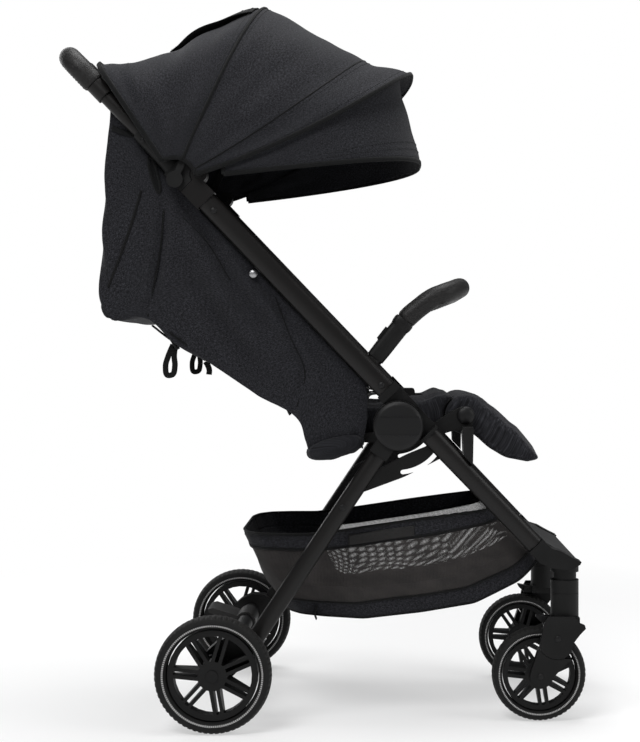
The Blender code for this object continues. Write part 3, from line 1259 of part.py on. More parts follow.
def arm_path():
    """Centre line of the arm bar: up one side, forwards, across and back down the other side."""
    start = [arm_point(s) for s in (ARM_START, ARM_COLLAR[0], ARM_COLLAR[1], ARM_STRAIGHT - 0.018,
                                    ARM_STRAIGHT)]
    ex, ez = ARM_END
    corner = arm_point(ARM_STRAIGHT + 0.022)
    side = [Vector((x, -ARM_HALF, z)) for x, z in start]
    x1, z1 = start[-1]
    for u in (0.34, 0.67, 1.0):
        x = x1 * (1 - u) ** 2 + corner[0] * 2 * u * (1 - u) + ARM_TURN[0] * u * u
        z = z1 * (1 - u) ** 2 + corner[1] * 2 * u * (1 - u) + ARM_TURN[1] * u * u
        side.append(Vector((x, -ARM_HALF, z)))
    ahead = (Vector((ex, 0, ez)) - Vector((ARM_TURN[0], 0, ARM_TURN[1]))).normalized()
    middle = Vector((ex, -ARM_HALF, ez)) - ahead * ARM_BEND
    for i in range(6):
        a = math.pi / 2 * i / 5
        side.append(middle + ahead * ARM_BEND * math.sin(a) + Y_AXIS * ARM_BEND * (1 - math.cos(a)))
    return side + [Vector((p.x, -p.y, p.z)) for p in reversed(side)]


def build_arm_bar():
    """Arm bar: a bent tube that plugs into two sockets, with a padded cover and two release buttons."""
    across = Vector((-math.sin(ARM_ANGLE), 0, math.cos(ARM_ANGLE)))
    path = arm_path()
    sections = oval(2 * ARM_BAR_RADIUS, 2 * ARM_BAR_RADIUS, 12, 2.0)
    joins, cuts = [], []
    for name, side in SIDES:
        joins.append(mirrored(arm_rod(ARM_COLLAR_RADIUS, *ARM_COLLAR, 16), side))
        cuts.append(mirrored(arm_button(0.0003, 0.009 - 0.0003, 0.02), side))
    add("arm_bar", sweep(path, sections, across), "arm_bar", "black_plastic", joins=joins, cuts=cuts)
    cover = [p.copy() for p in path[3:-3]]
    inner = oval(2 * ARM_BAR_RADIUS + 2 * GAP, 2 * ARM_BAR_RADIUS + 2 * GAP, 12, 2.0)
    outer = oval(2 * ARM_GRIP_RADIUS, 2 * ARM_GRIP_RADIUS, 12, 2.0)
    add("arm_grip", sleeve(cover, outer, inner, across), "arm_bar", "leatherette")
    for name, side in SIDES:
        add("arm_button_" + name, mirrored(arm_button(0.0, 0.009 + ARM_BUTTON_TRAVEL, 0.0165), side),
            "arm_button_" + name, "gloss_black")


def arm_button(grow, low, high):
    """A small block on the rear side of the arm bar's collar, between two distances from the bar's line."""
    mid = (ARM_COLLAR[0] + ARM_COLLAR[1]) / 2
    half = 0.0105 + grow
    side = 0.0045 + grow
    corners = [arm_point(mid - half, low), arm_point(mid + half, low), arm_point(mid + half, high),
               arm_point(mid - half, high)]
    return prism(corners, ARM_HALF - side, ARM_HALF + side)


def build_basket():
    """Cloth shopping basket: an open bag with a deep rim, hung between the rear and front legs."""
    rim = from_hub((-0.2295, -0.1610), (-0.1305, -0.1610), (-0.0720, -0.1540), (0.0300, -0.1390),
                   (0.1353, -0.1250))
    low = from_hub((-0.1661, -0.2775), (-0.0495, -0.2845), (0.0350, -0.2750), (0.1125, -0.2620),
                   (0.1775, -0.2300), (0.2050, -0.2050))
    shares = (0.0, 0.02, 0.07, 0.16, 0.32, 0.5, 0.68, 0.84, 0.96, 1.0)
    corners = {0.0: 0.075, 0.02: 0.034, 0.07: 0.009, 0.96: 0.004, 1.0: 0.020}
    rows = []
    for g, bulge in ((0.0, 0.0), (0.20, 0.001), (0.45, 0.004), (0.75, 0.004), (1.0, 0.0)):
        half = BASKET_RIM_HALF + (BASKET_LOW_HALF - BASKET_RIM_HALF) * g + bulge
        side = []
        for f in shares:
            a, b = along(rim, f), along(low, f)
            back = bulge * 1.8 * max(0.0, 1 - f / 0.16)
            side.append(Vector((a[0] + (b[0] - a[0]) * g - back, half - corners.get(f, 0.0),
                                a[1] + (b[1] - a[1]) * g)))
        rows.append(side + [Vector((p.x, -p.y, p.z)) for p in reversed(side)])
    bm = bmesh.new()
    made = [[bm.verts.new(p) for p in row] for row in rows]
    count = len(made[0])
    for a, b in zip(made, made[1:]):
        for i in range(count):
            j = (i + 1) % count
            bm.faces.new((a[i], a[j], b[j], b[i]))
    floor = made[-1]
    for i in range(count // 2 - 1):
        bm.faces.new((floor[i], floor[i + 1], floor[count - 2 - i], floor[count - 1 - i]))
    rear_y = FRAME_HALF - REAR_TUBE_DEPTH / 2 - GAP
    reach = (STRAP_Z - HUB_HEIGHT) / math.sin(-REAR_LEG_RAKE)
    rear_x = REAR.at(reach)[0]
    front_y = front_half(FRONT_STRAP_T + STRAP_REACH) - TUBE_DEPTH / 2 - 2 * GAP
    front_x, front_z = FRONT.at(FRONT_STRAP_T, -0.016)
    inner_y = BASKET_RIM_HALF - STRAP_INSET
    straps = []
    for name, side in SIDES:
        for x, z, y in ((rear_x, STRAP_Z, rear_y), (front_x, front_z, front_y)):
            patch = circle((x, z), STRAP_REACH, 8)
            straps.append(mirrored(prism(patch, inner_y, y), side))
    skin_object("basket", orient(bm, Vector((-0.03, 0, HUB_HEIGHT - 0.196))), "rear_frame", "mesh_fabric",
                BASKET_WALL, straps)


def along(points, share):
    """The point a share of the way along a side view polyline, measured in x."""
    x = points[0][0] + (points[-1][0] - points[0][0]) * share
    for (x0, z0), (x1, z1) in zip(points, points[1:]):
        if x <= x1 + 1e-9:
            return x, z0 + (z1 - z0) * (x - x0) / (x1 - x0)
    return points[-1]


def build_buckle():
    """Harness buckle that lies on the seat pad, with its release button."""
    x, z = BUCKLE
    shell = prism(rounded([(x - 0.027, z), (x + 0.027, z), (x + 0.025, z + BUCKLE_DEPTH),
                           (x - 0.025, z + BUCKLE_DEPTH)], 0.003, 2),
                  -0.0210, 0.0210)
    pocket = upright(x, 0, 0.0105 + RUNNING, z + 0.0055, z + 0.05, 20)
    add("harness_buckle", shell, "front_frame", "black_plastic", cuts=(pocket,))
    add("buckle_button", upright(x, 0, 0.0105, z + 0.0055 + BUCKLE_TRAVEL + GAP, z + BUCKLE_DEPTH + 0.0006,
                                 20), "buckle_button", "button_grey")


def build_materials():
    """Plain materials, one for each finish."""
    material("satin_frame", (0.085, 0.078, 0.075), 0.42, 0.8)
    material("black_plastic", (0.022, 0.022, 0.024), 0.55)
    material("gloss_black", (0.012, 0.012, 0.013), 0.22)
    material("grey_plastic", (0.20, 0.20, 0.21), 0.60)
    material("black_metal", (0.035, 0.035, 0.037), 0.45, 0.7)
    material("steel", (0.55, 0.55, 0.56), 0.30, 1.0)
    material("tyre", (0.018, 0.018, 0.019), 0.85)
    material("leatherette", (0.024, 0.022, 0.021), 0.50)
    material("leather_trim", (0.040, 0.038, 0.038), 0.60)
    material("fabric", (0.075, 0.076, 0.082), 0.95)
    material("fabric_pad", (0.062, 0.063, 0.068), 0.95)
    material("mesh_fabric", (0.110, 0.100, 0.094), 0.95)
    material("button_grey", (0.060, 0.060, 0.062), 0.45)


def build_bodies():
    """An axis for each body, parents first."""
    trigger = UPPER.at(HANDLE_CROSS, 0)
    pin = brake_pin_place()
    body("rear_frame", HUB)
    body("upper_frame", HUB, parent="rear_frame")
    body("front_frame", HUB, parent="rear_frame")
    body("handle", KNUCKLE_PIN, parent="upper_frame")
    body("canopy_main", CANOPY_PIN, parent="handle")
    body("canopy_front", CANOPY_PIN, parent="canopy_main")
    body("canopy_visor", CANOPY_PIN, parent="canopy_front")
    body("fold_trigger", trigger, parent="handle")
    body("backrest", BACK_PIN, parent="upper_frame")
    body("arm_bar", arm_point(0.0), parent="upper_frame")
    body("calf_rest", CALF_PIN, parent="front_frame")
    body("buckle_button", BUCKLE, parent="front_frame")
    body("brake_pedal", BEAM, PEDAL_Y, "rear_frame")
    for name, side in SIDES:
        body("arm_button_" + name, arm_point(sum(ARM_COLLAR) / 2), ARM_HALF * side, "arm_bar")
        body("brake_pin_" + name, pin, FRAME_HALF * side, "rear_frame")
        body("rear_wheel_" + name, (REAR_AXLE_X, REAR_AXLE_Z), REAR_WHEEL_HALF * side, "rear_frame")
        body("caster_" + name, (POST_X, POST_RING), POST_HALF * side, "front_frame")
        body("swing_arm_" + name, SWING_PIVOT, POST_HALF * side, "caster_" + name)
        body("swivel_lock_" + name, LOCK_PIN, POST_HALF * side, "caster_" + name)
        body("front_wheel_" + name, FRONT_AXLE, POST_HALF * side, "swing_arm_" + name)


clear_scene()
build_materials()
build_bodies()
build_tubes()
build_hubs()
build_handle()
build_stays()
build_castings()
build_casters()
build_wheels()
build_rear_axle()
build_brake_pedal()
build_seat()
build_arm_bar()
build_canopy()
build_basket()
build_buckle()
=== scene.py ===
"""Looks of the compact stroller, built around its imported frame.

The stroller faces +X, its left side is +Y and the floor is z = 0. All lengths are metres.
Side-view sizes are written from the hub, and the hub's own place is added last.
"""

import json
import logging
import math
from collections.abc import Iterator
from dataclasses import dataclass
from enum import Enum

import bpy
import numpy as np
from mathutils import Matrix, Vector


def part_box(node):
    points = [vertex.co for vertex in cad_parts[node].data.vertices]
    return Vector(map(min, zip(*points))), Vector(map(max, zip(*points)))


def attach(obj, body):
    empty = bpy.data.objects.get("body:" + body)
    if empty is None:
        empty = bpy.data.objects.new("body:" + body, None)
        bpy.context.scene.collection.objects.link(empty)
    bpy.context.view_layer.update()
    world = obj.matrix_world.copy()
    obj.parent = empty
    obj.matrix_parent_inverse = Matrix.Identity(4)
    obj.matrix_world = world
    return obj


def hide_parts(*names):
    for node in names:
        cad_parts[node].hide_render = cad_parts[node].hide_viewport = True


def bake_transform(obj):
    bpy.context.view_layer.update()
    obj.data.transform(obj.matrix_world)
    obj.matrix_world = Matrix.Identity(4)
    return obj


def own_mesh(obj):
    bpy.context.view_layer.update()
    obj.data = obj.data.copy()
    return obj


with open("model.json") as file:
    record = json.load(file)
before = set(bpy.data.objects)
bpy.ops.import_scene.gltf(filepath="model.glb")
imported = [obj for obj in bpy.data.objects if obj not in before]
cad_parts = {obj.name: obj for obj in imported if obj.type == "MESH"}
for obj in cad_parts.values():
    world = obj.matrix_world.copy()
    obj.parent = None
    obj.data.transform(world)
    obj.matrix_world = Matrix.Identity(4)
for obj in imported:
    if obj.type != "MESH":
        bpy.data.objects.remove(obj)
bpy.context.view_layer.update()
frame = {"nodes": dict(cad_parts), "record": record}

Array = np.ndarray
Piece = bpy.types.Object
Material = bpy.types.Material
Pair = tuple[float, float]
Triple = tuple[float, float, float]
Sewn = tuple[Piece, str]

LOG = logging.getLogger("stroller")
HUB_X = 0.109604
HUB_Z = 0.431
RAKE = math.radians(46.3)
TAU = 2 * math.pi
SIDES = {"right": -1.0, "left": 1.0}
BACK_LEAN = math.radians(145.7)
FRONT_WHEEL = (0.314604, 0.068266)
REAR_WHEEL = (-0.151051, 0.082717)


class Weave(Enum):
    """How a cloth is woven."""

    PLAIN = "plain"
    TWILL = "twill"
    RIB = "rib"


class Value:
    """A shader socket that takes part in Python expressions.

    Args:
        tree: node tree that holds the socket.
        socket: output socket, or a plain number.
    """

    def __init__(self, tree: bpy.types.NodeTree, socket: object) -> None:
        """Keep the tree and the socket."""
        self.tree = tree
        self.socket = socket

    def _math(self, operation: str, *others: object) -> "Value":
        """Add one Math node.

        Args:
            operation: the Math node's operation.
            others: the further values, sockets or numbers.

        Returns:
            The node's result as a Value.
        """
        made = self.tree.nodes.new("ShaderNodeMath")
        made.operation = operation
        for place, item in enumerate((self, *others)):
            raw = item.socket if isinstance(item, Value) else item
            if isinstance(raw, bpy.types.NodeSocket):
                self.tree.links.new(raw, made.inputs[place])
            else:
                made.inputs[place].default_value = float(raw)
        return Value(self.tree, made.outputs[0])

    def __add__(self, other: object) -> "Value":
        """Return self + other."""
        return self._math("ADD", other)

    def __sub__(self, other: object) -> "Value":
        """Return self - other."""
        return self._math("SUBTRACT", other)

    def __rsub__(self, other: object) -> "Value":
        """Return other - self."""
        return Value(self.tree, other)._math("SUBTRACT", self)

    def __mul__(self, other: object) -> "Value":
        """Return self * other."""
        return self._math("MULTIPLY", other)

    def __truediv__(self, other: object) -> "Value":
        """Return self / other."""
        return self._math("DIVIDE", other)

    __radd__ = __add__
    __rmul__ = __mul__

    def wave(self) -> "Value":
        """Return the sine."""
        return self._math("SINE")

    def power(self, exponent: float) -> "Value":
        """Return self to a power."""
        return self._math("POWER", exponent)

    def above(self, limit: float) -> "Value":
        """Return 1 where self is over the limit, else 0."""
        return self._math("GREATER_THAN", limit)

    def larger(self, other: object) -> "Value":
        """Return the larger of two values."""
        return self._math("MAXIMUM", other)

    def smaller(self, other: object) -> "Value":
        """Return the smaller of two values."""
        return self._math("MINIMUM", other)

    def cell(self) -> "Value":
        """Return the fraction part."""
        return self._math("FRACT")

    def angle_to(self, other: object) -> "Value":
        """Return the angle whose tangent is self / other."""
        return self._math("ARCTAN2", other)


class Shader:
    """One material, or the world, while it is being built.

    Args:
        name: the material's name.
        world: the world that is built instead of a material, or None.
    """

    def __init__(self, name: str, world: bpy.types.World | None = None) -> None:
        """Start from an empty tree with an output, and a Principled node for a material.

        Args:
            name: name of the new material.
            world: the surroundings, where they are built in place of a material.
        """
        self.material = world or bpy.data.materials.new(name)
        self.material.use_nodes = True
        self.tree = self.material.node_tree
        self.tree.nodes.clear()
        self.output = self.node("ShaderNodeOutputWorld" if world else "ShaderNodeOutputMaterial")
        if world is None:
            self.main = self.node("ShaderNodeBsdfPrincipled")
            self.tree.links.new(self.main.outputs[0], self.output.inputs[0])

    def node(self, kind: str, settings: dict | None = None, **values: object) -> bpy.types.Node:
        """Add any node.

        Args:
            kind: the node's type name.
            settings: properties set before the sockets, with "stops" for a ramp.
            values: socket values or links, named by socket with spaces as underscores.

        Returns:
            The node.
        """
        made = self.tree.nodes.new(kind)
        for key, value in (settings or {}).items():
            if key == "stops":
                ramp = made.color_ramp.elements
                while len(ramp) < len(value):
                    ramp.new(0.5)
                for element, (place, colour) in zip(ramp, value):
                    element.position = place
                    element.color = (*colour, 1.0)
            else:
                setattr(made, key, value)
        for key, value in values.items():
            self.feed(made, key.replace("_", " "), value)
        return made

    def feed(self, node: bpy.types.Node, socket: str, value: object) -> None:
        """Set or link one input socket.

        Args:
            node: the node that has the socket.
            socket: the socket's name.
            value: a number, a tuple, an output socket or a Value.
        """
        raw = value.socket if isinstance(value, Value) else value
        target = next(s for s in node.inputs if s.name == socket and s.enabled)
        if isinstance(raw, bpy.types.NodeSocket):
            self.tree.links.new(raw, target)
        else:
            target.default_value = (*raw, 1.0) if target.type == "RGBA" and len(raw) == 3 else raw

    def value(self, socket: object) -> Value:
        """Wrap a socket or a number as a Value."""
        return Value(self.tree, socket)

    def place(self, shift: Triple = (0.0, 0.0, 0.0)) -> tuple[object, list[Value]]:
        """Read Object coordinates, moved by a shift.

        Args:
            shift: what is taken from each coordinate.

        Returns:
            The vector's socket and its three Values.
        """
        source = self.node("ShaderNodeTexCoord").outputs["Object"]
        moved = self.node("ShaderNodeMapping", Vector=source, Location=tuple(-s for s in shift)).outputs[0]
        return moved, [self.value(s) for s in self.node("ShaderNodeSeparateXYZ", Vector=moved).outputs]

    def surface(self) -> tuple[object, list[Value]]:
        """Read the piece's own UV map, which is in metres of cloth.

        Returns:
            The vector's socket and its two Values.
        """
        source = self.node("ShaderNodeTexCoord").outputs["UV"]
        return source, [self.value(s) for s in self.node("ShaderNodeSeparateXYZ", Vector=source).outputs[:2]]

    def noise(self, vector: object, scale: float, detail: float = 3.0, stretch: tuple | None = None) -> Value:
        """Add a noise texture.

        Args:
            vector: coordinates.
            scale: noise cells per metre.
            detail: octaves.
            stretch: scale of each axis first, for streaks.

        Returns:
            The noise from 0 to 1.
        """
        if stretch:
            vector = self.node("ShaderNodeMapping", Vector=vector, Scale=stretch).outputs[0]
        made = self.node("ShaderNodeTexNoise", Vector=vector, Scale=scale, Detail=detail)
        return self.value(made.outputs[0])

    def tint(self, factor: object, *stops: tuple) -> object:
        """Turn a factor into a colour through a ramp of (place, colour) stops."""
        return self.node("ShaderNodeValToRGB", {"stops": stops}, Fac=factor).outputs[0]

    def mix(self, factor: object, first: object, second: object) -> object:
        """Mix two colours.

        Args:
            factor: 0 for the first, 1 for the second.
            first: colour or socket.
            second: colour or socket.

        Returns:
            The colour's socket.
        """
        made = self.node("ShaderNodeMix", {"data_type": "RGBA"}, Factor=factor)
        for place, item in ((6, first), (7, second)):
            if isinstance(item, bpy.types.NodeSocket):
                self.tree.links.new(item, made.inputs[place])
            else:
                made.inputs[place].default_value = (*item, 1.0)
        return made.outputs[2]

    def bump(self, height: object, depth: float, edge: float = 0.0) -> object:
        """Turn a height into a normal, over rounded edges where asked.

        Args:
            height: height from 0 to 1.
            depth: its real depth.
            edge: radius of the rounded edges, or 0.

        Returns:
            The normal's socket.
        """
        extra = {}
        if edge:
            extra["Normal"] = self.node("ShaderNodeBevel", {"samples": 4}, Radius=edge).outputs[0]
        return self.node("ShaderNodeBump", Height=height, Distance=depth, Strength=1.0, **extra).outputs[0]

    def show(self, factor: Value, first: object, second: object) -> None:
        """Show one shader where the factor is 0 and another where it is 1.

        Args:
            factor: the share of the second.
            first: the first shader's socket.
            second: the second shader's socket.
        """
        mixed = self.node("ShaderNodeMixShader", Fac=factor)
        self.tree.links.new(first, mixed.inputs[1])
        self.tree.links.new(second, mixed.inputs[2])
        self.tree.links.new(mixed.outputs[0], self.output.inputs[0])

    def finish(self, **sockets: object) -> Material:
        """Feed the Principled node.

        Args:
            sockets: its values or links, named with spaces as underscores.

        Returns:
            The material.
        """
        for key, value in sockets.items():
            self.feed(self.main, key.replace("_", " "), value)
        return self.material


def grey(level: float, warm: float = 0.0) -> Triple:
    """Return a grey, pushed towards warm (positive) or cool (negative)."""
    return (level * (1 + warm), level, level * (1 - warm))


@dataclass(frozen=True)
class PowderCoat:
    """Satin powder coat on metal tube, with a fine orange-peel."""

    name: str = "satin_frame"
    colour: Triple = (0.0046, 0.004, 0.0038)
    roughness: float = 0.34

    def build(self) -> Material:
        """Build the material.

        Returns:
            The material, its nodes linked.
        """
        s = Shader(self.name)
        vector, _ = s.place()
        peel = s.noise(vector, 950, 2)
        cloud = s.noise(vector, 14, 4)
        lighter = tuple(c * 1.22 for c in self.colour)
        colour = s.tint(cloud, (0.35, self.colour), (0.75, lighter))
        return s.finish(Base_Color=colour, Roughness=self.roughness + 0.12 * peel,
                        Specular_IOR_Level=0.26, Normal=s.bump(peel, 0.00005, 0.0006))


@dataclass(frozen=True)
class Moulded:
    """Moulded plastic with a fine spark-eroded grain and a little dust."""

    name: str
    colour: Triple
    roughness: float = 0.48
    grain: float = 0.00008
    scale: float = 1300.0

    def build(self) -> Material:
        """Build the material.

        Returns:
            The material, its nodes linked.
        """
        s = Shader(self.name)
        vector, _ = s.place()
        grain = s.noise(vector, self.scale, 2)
        dust = s.noise(vector, 22, 5)
        worn = tuple(c * 1.45 + 0.002 for c in self.colour)
        colour = s.tint(dust, (0.42, self.colour), (0.78, worn))
        rough = self.roughness + 0.16 * dust - 0.08
        return s.finish(Base_Color=colour, Roughness=rough + 0.05 * grain, Specular_IOR_Level=0.2,
                        Normal=s.bump(grain, self.grain, 0.0007))


@dataclass(frozen=True)
class Gloss:
    """Satin black cap or rivet, with a few smears."""

    name: str = "gloss_black"
    colour: Triple = (0.006, 0.006, 0.0065)

    def build(self) -> Material:
        """Build the material.

        Returns:
            The material, its nodes linked.
        """
        s = Shader(self.name)
        vector, _ = s.place()
        smear = s.noise(vector, 60, 4)
        colour = s.tint(smear, (0.3, self.colour), (0.8, grey(0.006)))
        return s.finish(Base_Color=colour, Roughness=0.4 + 0.14 * smear, Specular_IOR_Level=0.24,
                        Normal=s.bump(smear, 0.00004, 0.0005))


@dataclass(frozen=True)
class Turned:
    """Turned steel with fine lathe lines across its axis."""

    name: str = "steel"
    colour: Triple = (0.45, 0.45, 0.46)
    roughness: float = 0.3

    def build(self) -> Material:
        """Build the material.

        Returns:
            The material, its nodes linked.
        """
        s = Shader(self.name)
        vector, _ = s.place()
        lines = s.noise(vector, 90, 3, (1.0, 34.0, 1.0))
        dull = tuple(c * 0.7 for c in self.colour)
        return s.finish(Base_Color=s.tint(lines, (0.3, dull), (0.7, self.colour)), Metallic=1.0,
                        Roughness=self.roughness + 0.15 * lines, Normal=s.bump(lines, 0.00004, 0.0003))


@dataclass(frozen=True)
class Rubber:
    """Foamed rubber tyre: brushed tread, smooth wall and a pale dashed ring round the wall."""

    name: str
    centre: Pair
    radius: float
    ring: Pair = (0.832, 0.862)
    dashes: int = 150

    def build(self) -> Material:
        """Build the material.

        Returns:
            The material, its nodes linked.
        """
        s = Shader(self.name)
        vector, (x, _, z) = s.place((self.centre[0], 0.0, self.centre[1]))
        radius = (x * x + z * z).power(0.5) * (1 / self.radius)
        turn = z.angle_to(x)
        grain = s.noise(vector, 900, 3)
        dust = s.noise(vector, 30, 4)
        low, high = self.ring
        band = (radius.above(low)) * (1 - radius.above(high))
        dash = ((turn * self.dashes).wave()).above(-0.35)
        scuffed = radius.above(0.955) * (0.35 + 0.65 * dust)
        base = s.tint(dust, (0.3, grey(0.0055)), (0.8, grey(0.0095, 0.03)))
        base = s.mix(scuffed * 0.4, base, grey(0.026, 0.04))
        colour = s.mix(band * dash * 0.92, base, grey(0.46, 0.01))
        ribs = ((turn * 240).wave() * 0.5 + 0.5) * radius.above(0.9)
        rough = 0.62 + 0.22 * dust - band * 0.12
        return s.finish(Base_Color=colour, Roughness=rough, Specular_IOR_Level=0.25,
                        Normal=s.bump(grain * 0.5 + ribs * 0.5, 0.00018, 0.0008))


@dataclass(frozen=True)
class Grained:
    """Grained leatherette: small cells with painted shade in the grooves between them, a painted highlight on
    their tops and a soft sheen.
    """

    name: str
    colour: Triple = (0.0052, 0.0048, 0.0047)
    cells: float = 520.0

    def build(self) -> Material:
        """Build the material.

        Returns:
            The material, its nodes linked.
        """
        s = Shader(self.name)
        vector, _ = s.place()
        bent = s.noise(vector, 160, 3)
        cells = s.value(s.node("ShaderNodeTexVoronoi", {"feature": "DISTANCE_TO_EDGE"}, Vector=vector,
                               Scale=self.cells).outputs[0])
        height = (cells * 9.0).smaller(1.0) * 0.75 + bent * 0.25
        # Painted shade and highlight: the colour falls to 0.55 times in the grooves between the cells and
        # rises to 2.1 times on their tops.
        cell_edge_shade, lighter = (tuple(c * share for c in self.colour) for share in (0.55, 2.1))
        colour = s.tint(height, (0.1, cell_edge_shade), (0.55, self.colour), (1.0, lighter))
        return s.finish(Base_Color=colour, Roughness=0.62 - 0.2 * height, Specular_IOR_Level=0.3,
                        Normal=s.bump(height, 0.00022, 0.0009))


@dataclass(frozen=True)
class Cloth:
    """Woven melange cloth: dark and pale threads mixed along both directions of the weave."""

    name: str
    dark: Triple = (0.0062, 0.0063, 0.0076)
    pale: Triple = (0.056, 0.0568, 0.066)
    thread: float = 0.0017
    weave: Weave = Weave.PLAIN
    depth: float = 0.00028
    mixed: float = 1.0

    def build(self) -> Material:
        """Build the material.

        Returns:
            The material, its nodes linked.
        """
        s = Shader(self.name)
        vector, (u, v) = s.surface()
        turns = TAU / self.thread / 2
        slant = v if self.weave is Weave.TWILL else s.value(0.0)
        across = ((u + slant) * turns).wave()
        along = (v * turns).wave()
        if self.weave is Weave.RIB:
            height = along * 0.5 + 0.5
        else:
            height = (across * along) * 0.5 + 0.5
        warp = s.noise(vector, 640, 2, (1.0, 0.34, 1.0))
        weft = s.noise(vector, 640, 2, (0.34, 1.0, 1.0))
        cloud = s.noise(vector, 24, 4)
        over = across * along
        yarn = warp * (over * 0.5 + 0.5) + weft * (0.5 - over * 0.5)
        fleck = (yarn - 0.36) * (3.0 * self.mixed) + (cloud - 0.5) * 0.25
        middle = tuple((a * 2 + b) / 3 for a, b in zip(self.dark, self.pale))
        colour = s.tint(fleck, (0.0, self.dark), (0.45, middle), (1.0, self.pale))
        # Painted shade: the colour darkens towards half the dark thread in the gaps between the threads of
        # the weave.
        gaps = (across * across * (along * along)).smaller(1.0)
        colour = s.mix((1 - gaps) * 0.45, colour, tuple(c * 0.5 for c in self.dark))
        s.feed(s.main, "Sheen Weight", 0.06)
        s.feed(s.main, "Sheen Roughness", 0.5)
        fuzz = s.noise(vector, 1500, 2)
        return s.finish(Base_Color=colour, Roughness=0.86 + 0.1 * cloud, Specular_IOR_Level=0.12,
                        Normal=s.bump(height * 0.75 + fuzz * 0.25, self.depth))


@dataclass(frozen=True)
class OpenMesh:
    """Knitted mesh: round holes in staggered rows, open right through."""

    name: str = "mesh_fabric"
    pitch: float = 0.0021
    hole: float = 0.26
    colour: Triple = (0.02, 0.0174, 0.0166)

    def build(self) -> Material:
        """Build the material.

        Returns:
            The material, its nodes linked.
        """
        s = Shader(self.name)
        vector, (u, v) = s.surface()
        reach = None
        for shift in (0.0, 0.5):
            a = (u / self.pitch + shift).cell() - 0.5
            b = (v / (self.pitch * 1.7320508) + shift).cell() - 0.5
            here = (a * a + b * b * 3.0).power(0.5)
            reach = here if reach is None else reach.smaller(here)
        solid = reach.above(self.hole)
        cloud = s.noise(vector, 40, 3)
        pale = tuple(c * 1.9 for c in self.colour)
        colour = s.tint(cloud, (0.35, self.colour), (0.75, pale))
        return s.finish(Base_Color=colour, Roughness=0.8 + 0.1 * cloud, Alpha=solid,
                        Normal=s.bump((reach * 2.0).smaller(1.0), 0.0002))


@dataclass(frozen=True)
class Paint:
    """Even paint for the floor and the backdrop."""

    name: str = "studio_paint"

    def build(self) -> Material:
        """Build a paint that shows white to the camera far from the object and keeps its shadow near it.

        Returns:
            The material, its nodes linked.
        """
        s = Shader(self.name)
        _, (x, y, _) = s.place()
        reach = ((x * x) * 0.9 + (y * y) * 0.35).power(0.5)
        fade = ((reach - 0.45) * 1.5).larger(0.5).smaller(1.0)
        path = s.node("ShaderNodeLightPath")
        seen = s.value(path.outputs["Is Camera Ray"]).larger(s.value(path.outputs["Is Glossy Ray"]))
        seen = seen.larger(s.value(path.outputs["Is Transmission Ray"]))
        glow = s.node("ShaderNodeEmission", Color=(1.0, 1.0, 1.0, 1.0), Strength=1.0).outputs[0]
        s.show(seen * fade, s.main.outputs[0], glow)
        return s.finish(Base_Color=(0.9, 0.9, 0.9), Roughness=0.95, Specular_IOR_Level=0.0)


class Wardrobe:
    """All finishes of the stroller, built once and looked up by name."""

    def __init__(self) -> None:
        """Build every material."""
        finishes = (
            PowderCoat(), Moulded("black_plastic", grey(0.0042)), Gloss(), Turned(),
            Moulded("grey_plastic", grey(0.018, 0.02), 0.42), Moulded("button_grey", grey(0.014), 0.4),
            Moulded("black_metal", grey(0.007, 0.02), 0.36, 0.00004),
            Rubber("tyre_front", FRONT_WHEEL, 0.0685), Rubber("tyre_rear", REAR_WHEEL, 0.083),
            Grained("leatherette"),
            Grained("leather_trim", (0.008, 0.0078, 0.008), 430.0), Cloth("fabric"),
            Cloth("fabric_pad", (0.0066, 0.0068, 0.0082), (0.047, 0.0476, 0.055), 0.0013, Weave.TWILL),
            # The lining cloth also makes the thin dark strips that paint fold shade on the hood and the seat
            # cloth.
            Cloth("lining", grey(0.005, -0.04), grey(0.014, -0.04), 0.0008, Weave.PLAIN, 0.00015, 0.6),
            Cloth("webbing", grey(0.006), grey(0.018), 0.0022, Weave.RIB, 0.0004, 0.7),
            Cloth("binding", grey(0.006, -0.03), grey(0.02, -0.03), 0.0009, Weave.RIB, 0.0002, 0.7),
            Cloth("thread", grey(0.016, -0.04), grey(0.05, -0.04), 0.0005, Weave.RIB, 0.0001),
            OpenMesh(), Paint())
        self.materials = {finish.name: finish.build() for finish in finishes}

    def dress(self, obj: Piece, name: str) -> None:
        """Put one finish on an object."""
        obj.data.materials.clear()
        obj.data.materials.append(self.materials[name])


def spline(points: Array, count: int) -> Array:
    """Sample a smooth curve through points, evenly by length.

    Each stretch is the cubic h00 a + h10 ta + h01 b + h11 tb, with the neighbours' slopes as its tangents.

    Args:
        points: rows of any width.
        count: number of samples.

    Returns:
        The samples, one row each.
    """
    points = np.asarray(points, float)
    chord = np.linalg.norm(np.diff(points, axis=0), axis=1)
    knots = np.concatenate([[0.0], np.cumsum(np.maximum(chord, 1e-9))])
    slope = np.gradient(points, knots, axis=0)
    dense = np.linspace(0, knots[-1], count * 6)
    i = np.clip(np.searchsorted(knots, dense, side="right") - 1, 0, len(points) - 2)
    step = (knots[i + 1] - knots[i])[:, None]
    t = ((dense - knots[i])[:, None]) / step
    curve = ((2 * t**3 - 3 * t**2 + 1) * points[i] + (t**3 - 2 * t**2 + t) * step * slope[i]
             + (3 * t**2 - 2 * t**3) * points[i + 1] + (t**3 - t**2) * step * slope[i + 1])
    return resample(curve, count)


def rows_of(*parts: object) -> Array:
    """Put coordinates side by side in rows; numbers and arrays are first spread to one shape."""
    return np.stack(np.broadcast_arrays(*parts), axis=-1)


def between(grid: Array, row: float) -> Array:
    """Return the line at a row of a grid that need not be whole."""
    low = int(row)
    return grid[low] * (1 - row + low) + grid[low + 1] * (row - low)


def run_of(path: Array) -> Array:
    """Return each point's distance along a path."""
    return np.concatenate([[0.0], np.cumsum(np.linalg.norm(np.diff(path, axis=0), axis=1))])


